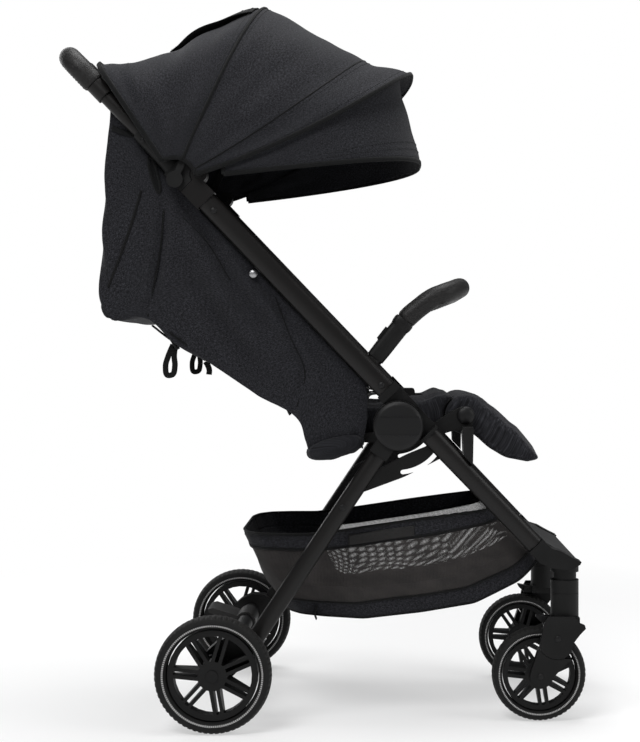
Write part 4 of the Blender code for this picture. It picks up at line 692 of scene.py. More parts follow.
def area_of(grid: Array) -> float:
    """Return the area of a grid: half the length of the cross product of each quad's diagonals, summed."""
    a, b = grid[1:, 1:] - grid[:-1, :-1], grid[1:, :-1] - grid[:-1, 1:]
    return float(np.linalg.norm(np.cross(a, b), axis=2).sum() / 2)


def width_of(grid: Array) -> float:
    """Return the length of a grid's longest row."""
    return float(np.linalg.norm(np.diff(grid, axis=1), axis=2).sum(axis=1).max())


def resample(curve: Array, count: int) -> Array:
    """Sample a polyline evenly by length.

    Args:
        curve: points in rows.
        count: number of samples.

    Returns:
        The samples, one row each.
    """
    run = run_of(curve)
    wanted = np.linspace(0, run[-1], count)
    return np.stack([np.interp(wanted, run, curve[:, k]) for k in range(curve.shape[1])], axis=1)


def unit(vectors: Array) -> Array:
    """Return vectors of length 1."""
    return vectors / np.maximum(np.linalg.norm(vectors, axis=-1, keepdims=True), 1e-12)


def side_view(points: object, y: object) -> Array:
    """Turn side-view points, x from the hub and z from the floor, into rows of x, y, z."""
    flat = np.asarray(points, float)
    return rows_of(flat[:, 0] + HUB_X, y, flat[:, 1])


def upper_line(t: float, n: float = 0.0) -> Pair:
    """Find a side-view point by the upper frame line.

    Args:
        t: distance along the line from its foot.
        n: distance towards its upper side.

    Returns:
        The point, x from the hub and z from the floor.
    """
    foot = (0.0233 * math.sin(RAKE), HUB_Z + 0.0233 * math.cos(RAKE))
    c, s = math.cos(RAKE), math.sin(RAKE)
    return (foot[0] - c * t + s * n, foot[1] + s * t + c * n)


def build_mesh(name: str, points: Array, faces: Array, uv: Array | None = None,
               smooth: bool = True) -> Piece:
    """Make an object from vertices and quads or triangles.

    Args:
        name: the piece's name.
        points: vertices in rows.
        faces: vertex indices, one face in each row; a triangle repeats its last index.
        uv: texture place of each vertex, or None.
        smooth: whether it is shaded smooth.

    Returns:
        The object, linked to the scene.
    """
    faces = np.asarray(faces, int)
    tris = faces[:, -1] == faces[:, -2]
    sizes = np.where(tris, faces.shape[1] - 1, faces.shape[1])
    keep = np.ones(faces.shape, bool)
    keep[tris, -1] = False
    corners = faces[keep]
    mesh = bpy.data.meshes.new(name)
    mesh.vertices.add(len(points))
    mesh.vertices.foreach_set("co", np.ascontiguousarray(points, np.float32).ravel())
    mesh.loops.add(len(corners))
    mesh.loops.foreach_set("vertex_index", corners.astype(np.int32))
    mesh.polygons.add(len(faces))
    mesh.polygons.foreach_set("loop_start", np.concatenate([[0], np.cumsum(sizes)[:-1]]).astype(np.int32))
    mesh.update(calc_edges=True)
    if uv is not None:
        layer = mesh.uv_layers.new(name="cloth")
        layer.data.foreach_set("uv", np.ascontiguousarray(uv[corners], np.float32).ravel())
    mesh.validate()
    if smooth:
        mesh.shade_smooth()
    made = bpy.data.objects.new(name, mesh)
    bpy.context.scene.collection.objects.link(made)
    return made


def grid_faces(rows: int, columns: int, ring: bool = False, start: int = 0) -> Array:
    """Quads of a grid of vertices.

    Args:
        rows: number of rows.
        columns: vertices in a row.
        ring: whether each row closes on itself.
        start: index of the first vertex.

    Returns:
        The faces' indices.
    """
    i, j = np.meshgrid(np.arange(rows - 1), np.arange(columns if ring else columns - 1), indexing="ij")
    k = (j + 1) % columns
    quad = np.stack([i * columns + j, i * columns + k, (i + 1) * columns + k, (i + 1) * columns + j], axis=-1)
    return quad.reshape(-1, 4) + start


def cloth_uv(grid: Array) -> Array:
    """Lay a cloth flat: u is the length along a row from its middle, v the longest down the columns.

    Args:
        grid: points, rows by columns by 3.

    Returns:
        Texture places in metres, one row for each point.
    """
    across = np.linalg.norm(np.diff(grid, axis=1), axis=2)
    down = np.linalg.norm(np.diff(grid, axis=0), axis=2)
    u = np.concatenate([np.zeros((len(grid), 1)), np.cumsum(across, axis=1)], axis=1)
    u = u - u[:, -1:] / 2
    v = np.concatenate([[0.0], np.cumsum(down.max(axis=1))])
    return rows_of(u, v[:, None]).reshape(-1, 2)


def sheet_piece(name: str, grid: Array, inside: object, thickness: float = 0.0016) -> Piece:
    """Make a cloth sheet from a grid of points and give it a thickness on its inner side.

    Args:
        name: the piece's name.
        grid: points, rows by columns by 3.
        inside: a point on the cloth's inner side.
        thickness: the cloth's thickness.

    Returns:
        The object.
    """
    rows, columns, _ = grid.shape
    faces = grid_faces(rows, columns)
    points = grid.reshape(-1, 3)
    a, b, c = (points[faces[:, k]] for k in (0, 1, 2))
    normal = np.cross(b - a, c - a)
    if ((a - np.asarray(inside)) * normal).sum() < 0:
        faces = faces[:, ::-1]
    made = build_mesh(name, points, faces, cloth_uv(grid))
    wall = made.modifiers.new("thickness", "SOLIDIFY")
    wall.thickness = thickness
    wall.offset = -1.0
    return made


def section(width: float, depth: float, count: int = 8, power: float = 2.0) -> Array:
    """Make a rounded section: at angle a it is width / 2 * |cos a|^(2/p) by depth / 2 * |sin a|^(2/p).

    Args:
        width: size along the side direction.
        depth: size along the outward one.
        count: number of points.
        power: 2 for an ellipse, more for a squarer shape.

    Returns:
        Points (side, outward) in rows.
    """
    a = TAU * (np.arange(count) + 0.5) / count
    c, s = np.cos(a), np.sin(a)
    return rows_of(np.sign(c) * np.abs(c) ** (2 / power) * width / 2,
                   np.sign(s) * np.abs(s) ** (2 / power) * depth / 2)


def swept(name: str, path: Array, outward: object, profile: Array, closed: bool = False,
          scale: object = 1.0) -> Piece:
    """Carry a section along a path.

    The side direction is tangent x outward, and each ring is path + side * profile.x + up * profile.y.

    Args:
        name: the piece's name.
        path: points in rows.
        outward: one direction, or one for each point.
        profile: section points (side, outward).
        closed: whether the path closes on itself.
        scale: size of the section, one number or one for each point.

    Returns:
        The object, with flat ends unless closed.
    """
    path = np.asarray(path, float)
    if closed:
        tangent = unit(np.roll(path, -1, axis=0) - np.roll(path, 1, axis=0))
    else:
        tangent = unit(np.gradient(path, axis=0))
    out = np.broadcast_to(np.asarray(outward, float), path.shape)
    side = unit(np.cross(tangent, out))
    out = np.cross(side, tangent)
    grow = np.broadcast_to(np.asarray(scale, float), (len(path),))[:, None, None]
    spread = side[:, None] * profile[None, :, :1] + out[:, None] * profile[None, :, 1:]
    rings = path[:, None] + spread * grow
    count = len(profile)
    points = rings.reshape(-1, 3)
    if closed:
        faces = grid_faces(len(path) + 1, count, True) % len(points)
    else:
        faces = grid_faces(len(path), count, True)
        ends = np.stack([path[0], path[-1]])
        points = np.concatenate([points, ends])
        j = np.arange(count)
        k = (j + 1) % count
        hub = np.full(count, len(points) - 2)
        last = (len(path) - 1) * count
        first_cap = np.stack([k, j, hub, hub], axis=1)
        last_cap = np.stack([last + j, last + k, hub + 1, hub + 1], axis=1)
        faces = np.concatenate([faces, first_cap, last_cap])
    run, edge = run_of(path), run_of(profile)
    uv = rows_of(edge, run[:, None]).reshape(-1, 2)
    if not closed:
        uv = np.concatenate([uv, [[0.0, 0.0], [0.0, run[-1]]]])
    i = faces[len(faces) // 3]
    middle = path[min(i[0] // count, len(path) - 1)]
    normal = np.cross(points[i[1]] - points[i[0]], points[i[2]] - points[i[0]])
    if (normal * (points[i[0]] - middle)).sum() < 0:
        faces = np.where((faces[:, 2] == faces[:, 3])[:, None], faces[:, [1, 0, 2, 3]], faces[:, ::-1])
    return build_mesh(name, points, faces, uv)


def scattered(name: str, template: tuple[Array, Array], origins: Array, along: Array,
              outward: Array) -> Piece:
    """Repeat a small shape many times in one mesh.

    Args:
        name: the piece's name.
        template: its vertices (along, side, outward) and its faces.
        origins: where each copy stands.
        along: each copy's long direction.
        outward: each copy's outward direction.

    Returns:
        The object.
    """
    shape, faces = template
    along = unit(along)
    side = unit(np.cross(outward, along))
    out = np.cross(along, side)
    points = (origins[:, None] + along[:, None] * shape[None, :, :1] + side[:, None] * shape[None, :, 1:2]
              + out[:, None] * shape[None, :, 2:])
    offset = (np.arange(len(origins)) * len(shape))[:, None, None]
    return build_mesh(name, points.reshape(-1, 3), (faces[None] + offset).reshape(-1, 4))


def stitch_shape(length: float, thick: float) -> tuple[Array, Array]:
    """One stitch: a short thread whose ends dive into the cloth.

    The half width at x is thick * sqrt(1 - (2x / length)^2), on a hexagon.

    Args:
        length: the stitch's length.
        thick: half its thickness.

    Returns:
        Vertices and faces.
    """
    x = np.array([-0.98, -0.6, 0.0, 0.6, 0.98]) * length / 2
    reach = thick * np.sqrt(1 - (2 * x / length) ** 2)
    a = TAU * np.arange(6) / 6
    ring = rows_of(x[:, None], reach[:, None] * np.cos(a), reach[:, None] * np.sin(a))
    faces = grid_faces(5, 6, True)
    caps = np.array([[5, 4, 3, 2], [5, 2, 1, 0], [24, 25, 26, 27], [24, 27, 28, 29]])
    return ring.reshape(-1, 3), np.concatenate([faces, caps])


def stitching(name: str, path: Array, outward: object, pitch: float = 0.0042, length: float = 0.0029,
              thick: float = 0.00038) -> Piece:
    """Sew a run of stitches along a path.

    Args:
        name: the piece's name.
        path: points in rows.
        outward: the cloth's outward direction, one or one for each point.
        pitch: distance between stitches.
        length: length of each.
        thick: half the thread's thickness.

    Returns:
        The object.
    """
    path = np.asarray(path, float)
    out = np.broadcast_to(np.asarray(outward, float), path.shape)
    count = max(3, int(run_of(path)[-1] / pitch))
    both = resample(np.concatenate([path, out * 1e-6], axis=1), count)
    spots, normals = both[:, :3], unit(both[:, 3:])
    along = np.gradient(spots, axis=0)
    return scattered(name, stitch_shape(length, thick), spots, along, normals)


def dome_shape(radius: float, height: float, steps: int = 20, rings: int = 6) -> tuple[Array, Array]:
    """One rivet head: z = height * sqrt(1 - (r / radius)^2) over a short rim.

    Args:
        radius: the head's radius.
        height: its height.
        steps: points in a ring.
        rings: rings from the rim to the top.

    Returns:
        Vertices and faces.
    """
    lift = np.linspace(0, 0.5 * math.pi * 0.96, rings)
    r = np.concatenate([[radius * 0.9, radius], radius * np.cos(lift)])
    z = np.concatenate([[-0.0006, -0.0003], 0.0002 + height * np.sin(lift)])
    a = TAU * np.arange(steps) / steps
    ring = rows_of(r[:, None] * np.cos(a), r[:, None] * np.sin(a), z[:, None])
    points = np.concatenate([ring.reshape(-1, 3), [[0.0, 0.0, z[-1] + 0.0001], [0.0, 0.0, z[0]]]])
    faces = grid_faces(len(r), steps, True)
    j = np.arange(steps)
    k = (j + 1) % steps
    top, low = np.full(steps, len(points) - 2), np.full(steps, len(points) - 1)
    last = (len(r) - 1) * steps
    caps = [np.stack([last + j, last + k, top, top], 1), np.stack([k, j, low, low], 1)]
    return points, np.concatenate([faces, *caps])


def folds(grid: Array, outward: Array, *waves: tuple[float, float, float, float]) -> Array:
    """Push a grid along its outward directions by soft folds.

    The height is the sum of size * sin(a * row + b * column + phase), rows and columns running from 0 to 1.

    Args:
        grid: points, rows by columns by 3.
        outward: directions of the same shape.
        waves: (size, a, b, phase) of each fold.

    Returns:
        The moved grid.
    """
    rows, columns, _ = grid.shape
    v, u = np.meshgrid(np.linspace(0, 1, rows), np.linspace(0, 1, columns), indexing="ij")
    height = sum(size * np.sin(a * v + b * u + phase) for size, a, b, phase in waves)
    edge = np.clip(np.minimum(np.minimum(u, 1 - u), np.minimum(v, 1 - v)) * 14, 0, 1)
    return grid + outward * (height * edge)[..., None]


def outward_of(grid: Array, inside: object) -> Array:
    """Work out a grid's unit normals.

    Args:
        grid: points, rows by columns by 3.
        inside: a point that they point away from.

    Returns:
        Directions of the grid's shape.
    """
    normal = unit(np.cross(np.gradient(grid, axis=1), np.gradient(grid, axis=0)))
    sign = np.sign(((grid - np.asarray(inside)) * normal).sum())
    return normal * (sign if sign else 1.0)


@dataclass(frozen=True)
class Panel:
    """One panel of the hood: its two bodies, the node it stands for, its bound row, its seams and its rows of
    painted fold shade.

    Seams and rows of painted fold shade are shares of the way from the first bow to the last.
    """

    name: str
    first: str
    last: str
    node: str
    binding: str
    bound_row: int
    bound: float
    sewn: tuple[float, ...]
    # Rows where a thin dark strip paints the shade of a fold.
    fold_shade_rows: tuple[float, ...] = ()


@dataclass
class Canopy:
    """Folding hood: rear roof, front roof and peak, each a taut curved sheet between bows.

    A bow is a flat superellipse that stands on the hood's axis: at direction a its reach is
    ((|cos a| / half)^p + (|sin a| / reach)^p)^(-1/p).
    """

    wardrobe: Wardrobe
    half: float = 0.2245
    axis: Pair = (-0.317688, 0.781244)
    first: float = 0.03
    cloth: float = 0.0016
    rear: tuple = ((124.0, 0.214, 6.0, 0.0), (117.5, 0.2, 5.4, 0.0), (111.0, 0.194, 4.8, 0.0),
                   (101.0, 0.1965, 4.0, 0.0), (91.0, 0.209, 3.4, 0.0), (77.4, 0.251, 2.9, 0.0),
                   (67.3, 0.302, 2.5, 0.0))
    front: tuple = ((66.9, 0.303, 2.5, 0.0), (58.7, 0.303, 2.5, 0.002), (49.8, 0.309, 2.5, 0.006),
                    (41.5, 0.3225, 2.5, 0.011), (33.9, 0.343, 2.5, 0.016), (27.9, 0.385, 2.5, 0.023))
    visor: tuple = ((29.0, 0.368, 2.5, 0.0222), (24.0, 0.3572, 2.6, 0.018), (15.0, 0.353, 2.8, 0.008),
                    (7.0, 0.357, 2.9, 0.002))
    panels: tuple = (
        Panel("canopy_roof_rear", "handle", "canopy_main", "canopy_rear_panel",
              "canopy_rear_binding", 0, 0.003, (0.035, 0.275, 0.965)),
        Panel("canopy_roof_front", "canopy_main", "canopy_front", "canopy_front_panel",
              "canopy_front_binding", -1, 0.0026, (0.035, 0.765, 0.955), (0.74,)),
        Panel("canopy_peak", "canopy_front", "canopy_visor", "canopy_visor",
              "canopy_peak_binding", -1, 0.0028, (0.8, 0.88)))

    def bow(self, spec: Array, columns: int, grow: float, first: float, half: float) -> Array:
        """Points of one bow.

        Args:
            spec: angle in degrees, reach, power and sag.
            columns: number of points.
            grow: how far the cloth lies outside the solid.
            first: reach at which the bow starts.
            half: half the hood's width.

        Returns:
            Points in rows.
        """
        degrees, reach, power, sag = spec
        reach = reach + grow
        low = math.atan2(first, half)
        a = np.linspace(low, math.pi - low, columns * 5)
        size = ((np.abs(np.cos(a)) / half) ** power + (np.abs(np.sin(a)) / reach) ** power) ** (-1 / power)
        y, r = size * np.cos(a), size * np.sin(a)
        drop = sag * np.sin(math.pi * np.clip(r / reach, 0, 1)) ** 0.7
        lean = math.radians(degrees)
        x = self.axis[0] + HUB_X + r * math.cos(lean) + drop * math.sin(lean)
        z = self.axis[1] + r * math.sin(lean) - drop * math.cos(lean)
        return resample(rows_of(x, y, z), columns)

    def skin(self, table: tuple, rows: int, columns: int, grow: float = 0.001, first: float | None = None,
             half: float | None = None) -> Array:
        """A whole panel through its bows.

        Args:
            table: the bows.
            rows: number of bows to make between the first and the last.
            columns: points on each.
            grow: how far it lies outside the solid.
            first: reach at which the bows start.
            half: half the width.

        Returns:
            Points, rows by columns by 3.
        """
        table = np.array(table)
        steps = np.linspace(0, len(table) - 1, rows)
        base = np.arange(len(table))
        smooth = np.stack([np.interp(steps, base, table[:, k]) for k in range(4)], axis=1)
        kernel = np.array([1, 2, 3, 2, 1]) / 9
        for k in range(4):
            padded = np.concatenate([[smooth[0, k]] * 2, smooth[:, k], [smooth[-1, k]] * 2])
            eased = np.convolve(padded, kernel, mode="valid")
            eased[[0, -1]] = smooth[[0, -1], k]
            smooth[:, k] = eased
        first, half = first or self.first, half or self.half
        return np.stack([self.bow(spec, columns, grow, first, half) for spec in smooth])

    def span(self, grid: Array) -> dict:
        """Return the middles of a panel's first and last bows."""
        middle = grid.shape[1] // 2
        return {"start": tuple(grid[0, middle]), "end": tuple(grid[-1, middle])}

    def stretch(self, pieces: list[Sewn], first: str, last: str, ends: dict) -> list[Piece]:
        """Dress the pieces of a panel and bake their transforms.

        Args:
            pieces: pairs of a piece and its finish, the panel itself first.
            first: the body at its start; not used.
            last: the body at its end; not used.
            ends: the middles of its first and last bows; not used.

        Returns:
            All pieces but the first.
        """
        for item, finish in pieces:
            self.wardrobe.dress(item, finish)
            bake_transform(item)
        return [item for item, _ in pieces[1:]]

    def build(self) -> None:
        """Build and dress every piece of the hood."""
        inside = np.array([self.axis[0] + HUB_X + 0.05, 0.0, self.axis[1] + 0.03])
        rear = self.skin(self.rear, 61, 161)
        rear = folds(rear, outward_of(rear, inside), (0.0011, 9, 41, 0.3), (0.0008, 17, -29, 1.1),
                     (0.0006, 31, 12, 2.0))
        front = self.skin(self.front, 61, 161)
        front = folds(front, outward_of(front, inside), (0.001, 8, 33, 0.9), (0.0007, 15, -24, 0.2),
                      (0.0005, 27, 14, 1.3))
        visor = self.skin(self.visor, 31, 141, -0.0006, 0.07, self.half - 0.0046)
        visor = folds(visor, outward_of(visor, inside), (0.0007, 6, 29, 0.4), (0.0004, 13, -21, 0.7))
        for panel, grid in zip(self.panels, (rear, front, visor)):
            self.sew(panel, grid, inside)
        self.bow_seam(front, inside)
        self.vent(rear, inside)

    def trims(self, panel: Panel, grid: Array, inside: Array) -> Iterator[Sewn]:
        """The binding, stitches, painted fold shade strips and side hems of one panel.

        Args:
            panel: the panel.
            grid: its points.
            inside: a point inside the hood.

        Yields:
            Pairs of a piece and its finish.
        """
        out = outward_of(grid, inside)
        bound = resample(grid[panel.bound_row], 150)
        hem = section(panel.bound * 2.6, panel.bound * 1.3, 8, 2.6)
        yield swept(panel.binding, bound, bound - inside, hem), "binding"
        for k, share in enumerate(panel.sewn):
            row = share * (len(grid) - 1)
            normal = out[int(row)]
            path = between(grid, row) + normal * 0.0003
            yield stitching(f"{panel.name}_stitches_{k + 1}", path, normal), "thread"
        # Painted shade: a thin dark strip of lining cloth laid along a fold of the cloth.
        for k, share in enumerate(panel.fold_shade_rows):
            low = int(share * (len(grid) - 1))
            path = grid[low] + out[low] * 0.0002
            yield swept(f"{panel.name}_crease_{k + 1}", path, out[low], section(0.0022, 0.0012)), "lining"
        for side, column in (("right", 0), ("left", -1)):
            edge = resample(grid[:, column], 60)
            facing = (0.0, float(np.sign(edge[0, 1])), 0.0)
            yield swept(f"{panel.name}_hem_{side}", edge, facing, section(0.0058, 0.003, 8, 2.6)), "binding"

    def sew(self, panel: Panel, grid: Array, inside: Array) -> None:
        """Make one panel with all that is sewn on it, lying between its bows.

        Args:
            panel: the panel.
            grid: its points.
            inside: a point inside the hood.
        """
        piece = sheet_piece(panel.name, grid, inside, self.cloth)
        made = [(piece, "fabric"), *self.trims(panel, grid, inside)]
        extra = self.stretch(made, panel.first, panel.last, self.span(grid))
        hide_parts(panel.node)
        wide = float(run_of(grid[len(grid) // 2])[-1])
        long = float(run_of(grid[:, grid.shape[1] // 2])[-1])
        area = area_of(grid)
        LOG.info("%s: %.3f by %.3f m of cloth, %.4f m2", panel.name, wide, long, area)

    def bow_seam(self, front: Array, inside: Array) -> None:
        """Piped seam over the main bow, where the rear and front roofs are sewn together.

        Args:
            front: the front roof's points.
            inside: a point inside the hood.
        """
        path = resample(front[0], 170)
        out = unit(path - inside)
        seam = swept("canopy_bow_piping", path + out * 0.0004, out, section(0.0046, 0.0034, 8))
        self.wardrobe.dress(seam, "binding")
        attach(seam, "canopy_main")

    def vent(self, rear: Array, inside: Array) -> None:
        """Raised flap across the rear roof's top, double stitched along both long edges.

        Args:
            rear: the rear roof's points.
            inside: a point inside the hood.
        """
        rows, columns = slice(35, 60), slice(57, 104)
        normal = outward_of(rear, inside)[rows, columns]
        lift = (0.0028 + 0.0075 * np.sin(np.linspace(0, math.pi, len(normal))) ** 0.8)[:, None, None]
        flap = rear[rows, columns] + normal * lift
        piece = sheet_piece("canopy_vent_flap", flap, inside, 0.0012)
        made = [(piece, "lining")]
        for k, row in enumerate((1, 3, -4, -2)):
            path = flap[row] + normal[row] * 0.0003
            made.append((stitching(f"canopy_vent_stitches_{k + 1}", path, normal[row]), "thread"))
        extra = self.stretch(made, "handle", "canopy_main", self.span(rear))
        width = float(run_of(flap[9])[-1])
        area_of(flap) / width


@dataclass
class Sling:
    """Cloth body that hangs between the upper tubes: back, underside and side walls."""

    wardrobe: Wardrobe
    half: float = 0.1868
    bulge: float = 0.0062
    cloth: float = 0.0018
    back: tuple = ((-0.412, 0.92), (-0.4145, 0.879), (-0.419, 0.842), (-0.4235, 0.77), (-0.4255, 0.7),
                   (-0.425, 0.6), (-0.415, 0.585), (-0.359, 0.582), (-0.3265, 0.551), (-0.2735, 0.5215),
                   (-0.205, 0.475), (-0.1405, 0.433), (-0.133, 0.407), (-0.123, 0.3825),
                   (-0.1, 0.38), (-0.072, 0.389), (-0.052, 0.3965))
    lengths: tuple = (0.54, 0.512, 0.484, 0.448, 0.41, 0.362, 0.34, 0.312, 0.284, 0.25, 0.21, 0.172,
                      0.148, 0.124, 0.102, 0.078, 0.056)
    edge: float = -0.0165
    columns: int = 141
    wall_columns: int = 45
    rows: int = 151
    band_columns: tuple[int, int] = (44, 97)
    seam_columns: tuple[int, int] = (46, 95)
    fold_steps: int = 50
    falls: tuple = (
        (((-0.335, 0.75), (-0.34, 0.69), (-0.351, 0.625), (-0.36, 0.59)), 0.0075, 0.0075),
        (((-0.311, 0.764), (-0.269, 0.7), (-0.216, 0.596), (-0.18, 0.557)), 0.01, 0.012),
        (((-0.324, 0.7), (-0.297, 0.64), (-0.231, 0.542), (-0.148, 0.447)), 0.0095, 0.014),
        (((-0.175, 0.617), (-0.155, 0.56), (-0.133, 0.503), (-0.148, 0.453)), 0.005, 0.008),
        (((-0.25, 0.7), (-0.205, 0.65), (-0.155, 0.59), (-0.11, 0.525)), 0.007, 0.01))
    # Painted shade: thin dark strips of lining cloth in the folds of the side walls, each a side-view line
    # and its width.
    fold_shade_lines: tuple = (
        (((-0.337, 0.74), (-0.3415, 0.69), (-0.353, 0.625), (-0.36, 0.587)), 0.003),
        (((-0.177, 0.615), (-0.156, 0.56), (-0.134, 0.503), (-0.146, 0.456)), 0.0014),
        (((-0.329, 0.564), (-0.305, 0.547), (-0.279, 0.53)), 0.003),
        (((-0.18, 0.472), (-0.164, 0.456), (-0.156, 0.445)), 0.0045),
        (((-0.31, 0.73), (-0.276, 0.695), (-0.242, 0.64)), 0.0012))
    gusset: tuple = ((-0.3366, 0.739), (-0.341, 0.689), (-0.3524, 0.625), (-0.361, 0.59))
    piping: tuple = ((-0.3688, 0.767), (-0.383, 0.72), (-0.401, 0.67), (-0.417, 0.629))
    zip_end: tuple = ((-0.411, 0.858), (-0.396, 0.8515), (-0.37, 0.846))
    roll: Pair = (-0.4195, 0.5955)
    cushion: Pair = (-0.0905, 0.3985)
    cushion_tilt: float = math.radians(14)
    strap_y: float = 0.168
    loop: tuple = ((-0.326, 0.5465), (-0.333, 0.53), (-0.337, 0.515), (-0.334, 0.502),
                   (-0.327, 0.503), (-0.3235, 0.515), (-0.3245, 0.53), (-0.323, 0.545))
    tip: tuple = ((-0.279, 0.522), (-0.276, 0.517), (-0.2735, 0.509), (-0.274, 0.503))
    runner: tuple = ((-0.356, 0.574), (-0.333, 0.556), (-0.305, 0.538), (-0.279, 0.5235))
    slider: tuple = ((-0.329, 0.556), (-0.319, 0.54))
    sides: tuple = (1.0, 0.86, 0.62, 0.45, 0.28, 0.12, 0.0)
    floors: tuple = (0.93, 0.8, 0.55, 0.28, 0.0, -0.28, -0.55, -0.8, -0.93)

    def grid(self) -> Array:
        """Work out the cloth.

        A station's side wall runs straight from the back line to the tube, pushed out by bulge * sin(pi v),
        and its floor sags by 1.2 mm * (1 - s^2) over the upper half. Both are then smoothed lengthwise.

        Returns:
            Points, rows by columns by 3.
        """
        last = len(self.back) - 1
        stations = []
        for i, (x, z) in enumerate(self.back):
            edge = upper_line(self.lengths[i], self.edge) if i < last else (-0.044, 0.44)
            loose = min(1.0, max(0.0, (last - 4 - i) / 3))
            fold = 0.35 + 0.65 * math.sin(3.2 * math.pi * i / last) ** 2
            before, after = self.back[max(i - 1, 0)], self.back[min(i + 1, last)]
            away = unit(np.array([after[1] - before[1], before[0] - after[0]]))
            v = np.array(self.sides)
            wide = self.half + self.bulge * np.sin(math.pi * v) * fold * loose
            wall = rows_of(x + (edge[0] - x) * v, wide, z + (edge[1] - z) * v)
            s = np.array(self.floors)
            sag = 0.0012 * (1 - s**2) * min(1.0, max(0.0, (9 - i) / 3))
            floor = rows_of(x + away[0] * sag, self.half * s, z + away[1] * sag)
            other = wall[::-1] * np.array([1.0, -1.0, 1.0])
            stations.append(np.concatenate([wall, floor, other]))
        coarse = np.stack(stations)
        fine = np.stack([resample(row, self.columns) for row in coarse])
        rows = np.stack([spline(fine[:, j], self.rows) for j in range(self.columns)], axis=1)
        return rows + np.array([HUB_X, 0.0, 0.0])

    def wall_point(self, grid: Array, places: object, side: float, lift: float = 0.001) -> Array:
        """Put side-view points on the cloth's side wall.

        Args:
            grid: the cloth.
            places: side-view points from the hub.
            side: -1 for the right wall, 1 for the left.
            lift: distance outside the cloth.

        Returns:
            Points in rows.
        """
        wanted = np.asarray(places, float) + np.array([HUB_X, 0.0])
        wall = grid[:, :grid.shape[1] * self.wall_columns // self.columns].reshape(-1, 3)
        gap = np.linalg.norm(wall[None][:, :, [0, 2]] - wanted[:, None], axis=2)
        near = np.argsort(gap, axis=1)[:, :4]
        y = np.take_along_axis(np.broadcast_to(wall[:, 1], gap.shape), near, axis=1).mean(axis=1)
        return rows_of(wanted[:, 0], side * (y + lift), wanted[:, 1])

    def draped(self, grid: Array) -> Array:
        """Press long soft folds into the side walls.

        At distance d from a fold's line the wall goes in by depth * exp(-(d / w)^2) and comes out by a third
        of that beside it; both fade as sin(pi t)^0.5 towards the ends of the line.

        Args:
            grid: the cloth.

        Returns:
            The folded cloth.
        """
        place = grid[..., [0, 2]]
        push = np.zeros(grid.shape[:2])
        for line, depth, width in self.falls:
            path = spline(np.array(line) + np.array([HUB_X, 0.0]), self.fold_steps)
            gap = np.linalg.norm(place[:, :, None] - path, axis=3)
            near = gap.argmin(axis=2)
            d = gap.min(axis=2)
            fade = np.sin(math.pi * np.clip(near / (self.fold_steps - 1), 0.02, 0.98)) ** 0.5
            valley, ridge = np.exp(-((d / width) ** 2)), np.exp(-(((d - 1.9 * width) / width) ** 2))
            push += fade * depth * (valley - 0.33 * ridge)
        wall = np.clip((np.abs(grid[..., 1]) / self.half - 0.955) / 0.03, 0, 1)
        count = grid.shape[1]
        column = np.arange(count)
        free = np.clip((np.minimum(column, count - 1 - column) - 1) / 5, 0, 1)[None]
        moved = grid.copy()
        moved[..., 1] -= np.sign(grid[..., 1]) * push * wall * free
        return moved

    def hang(self, piece: Piece, finish: str) -> None:
        """Dress a piece and let it go with the upper frame.

        Args:
            piece: the piece.
            finish: its finish.
        """
        self.wardrobe.dress(piece, finish)
        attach(piece, "upper_frame")
        line = upper_line(0.3)
        line[0] + HUB_X
        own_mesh(piece)

    def build(self) -> None:
        """Build the cloth and what is sewn on it."""
        grid = self.grid()
        inside = np.array([-0.24 + HUB_X, 0.0, 0.68])
        out = outward_of(grid, inside)
        moved = folds(grid, out, (0.0005, 23, 9, 0.0), (0.0004, 41, -14, 1.0), (0.0004, 63, 26, 2.1))
        lower = np.clip((np.arange(len(grid)) - 92) / 12, 0, 1)[:, None, None]
        grid = moved * (1 - lower) + grid * lower
        fine = np.stack([resample(row, 232) for row in grid])
        fine = np.stack([resample(fine[:, j], 190) for j in range(fine.shape[1])], axis=1)
        fine = self.draped(fine)
        body = sheet_piece("seat_cloth", fine, inside, self.cloth)
        extra = [*self.side_trims(fine, grid), *self.back_trims(grid, out)]
        self.hang(body, "fabric")
        for item, finish in extra:
            self.hang(item, finish)
        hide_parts("seat_sling")
        wide, long, area = width_of(grid), float(run_of(grid[:, self.columns // 2])[-1]), area_of(grid)
        LOG.info("seat cloth: cut from %.3f by %.3f m, %.4f m2", wide, long, area)
        self.straps()

    def side_trims(self, fine: Array, grid: Array) -> Iterator[Sewn]:
        """Seams, piping, painted fold shade strips, the bound opening and the zip's end on both side walls.

        Args:
            fine: the folded cloth.
            grid: the cloth before its side folds.

        Yields:
            Pairs of a piece and its finish.
        """
        for side, sign in SIDES.items():
            facing = (0.0, sign, 0.0)
            seam = spline(self.wall_point(fine, self.gusset, sign), 60)
            yield stitching(f"side_seam_{side}", seam, facing), "thread"
            piping = spline(self.wall_point(fine, self.piping, sign), 70)
            yield swept(f"back_piping_{side}", piping, facing, section(0.0042, 0.0034)), "binding"
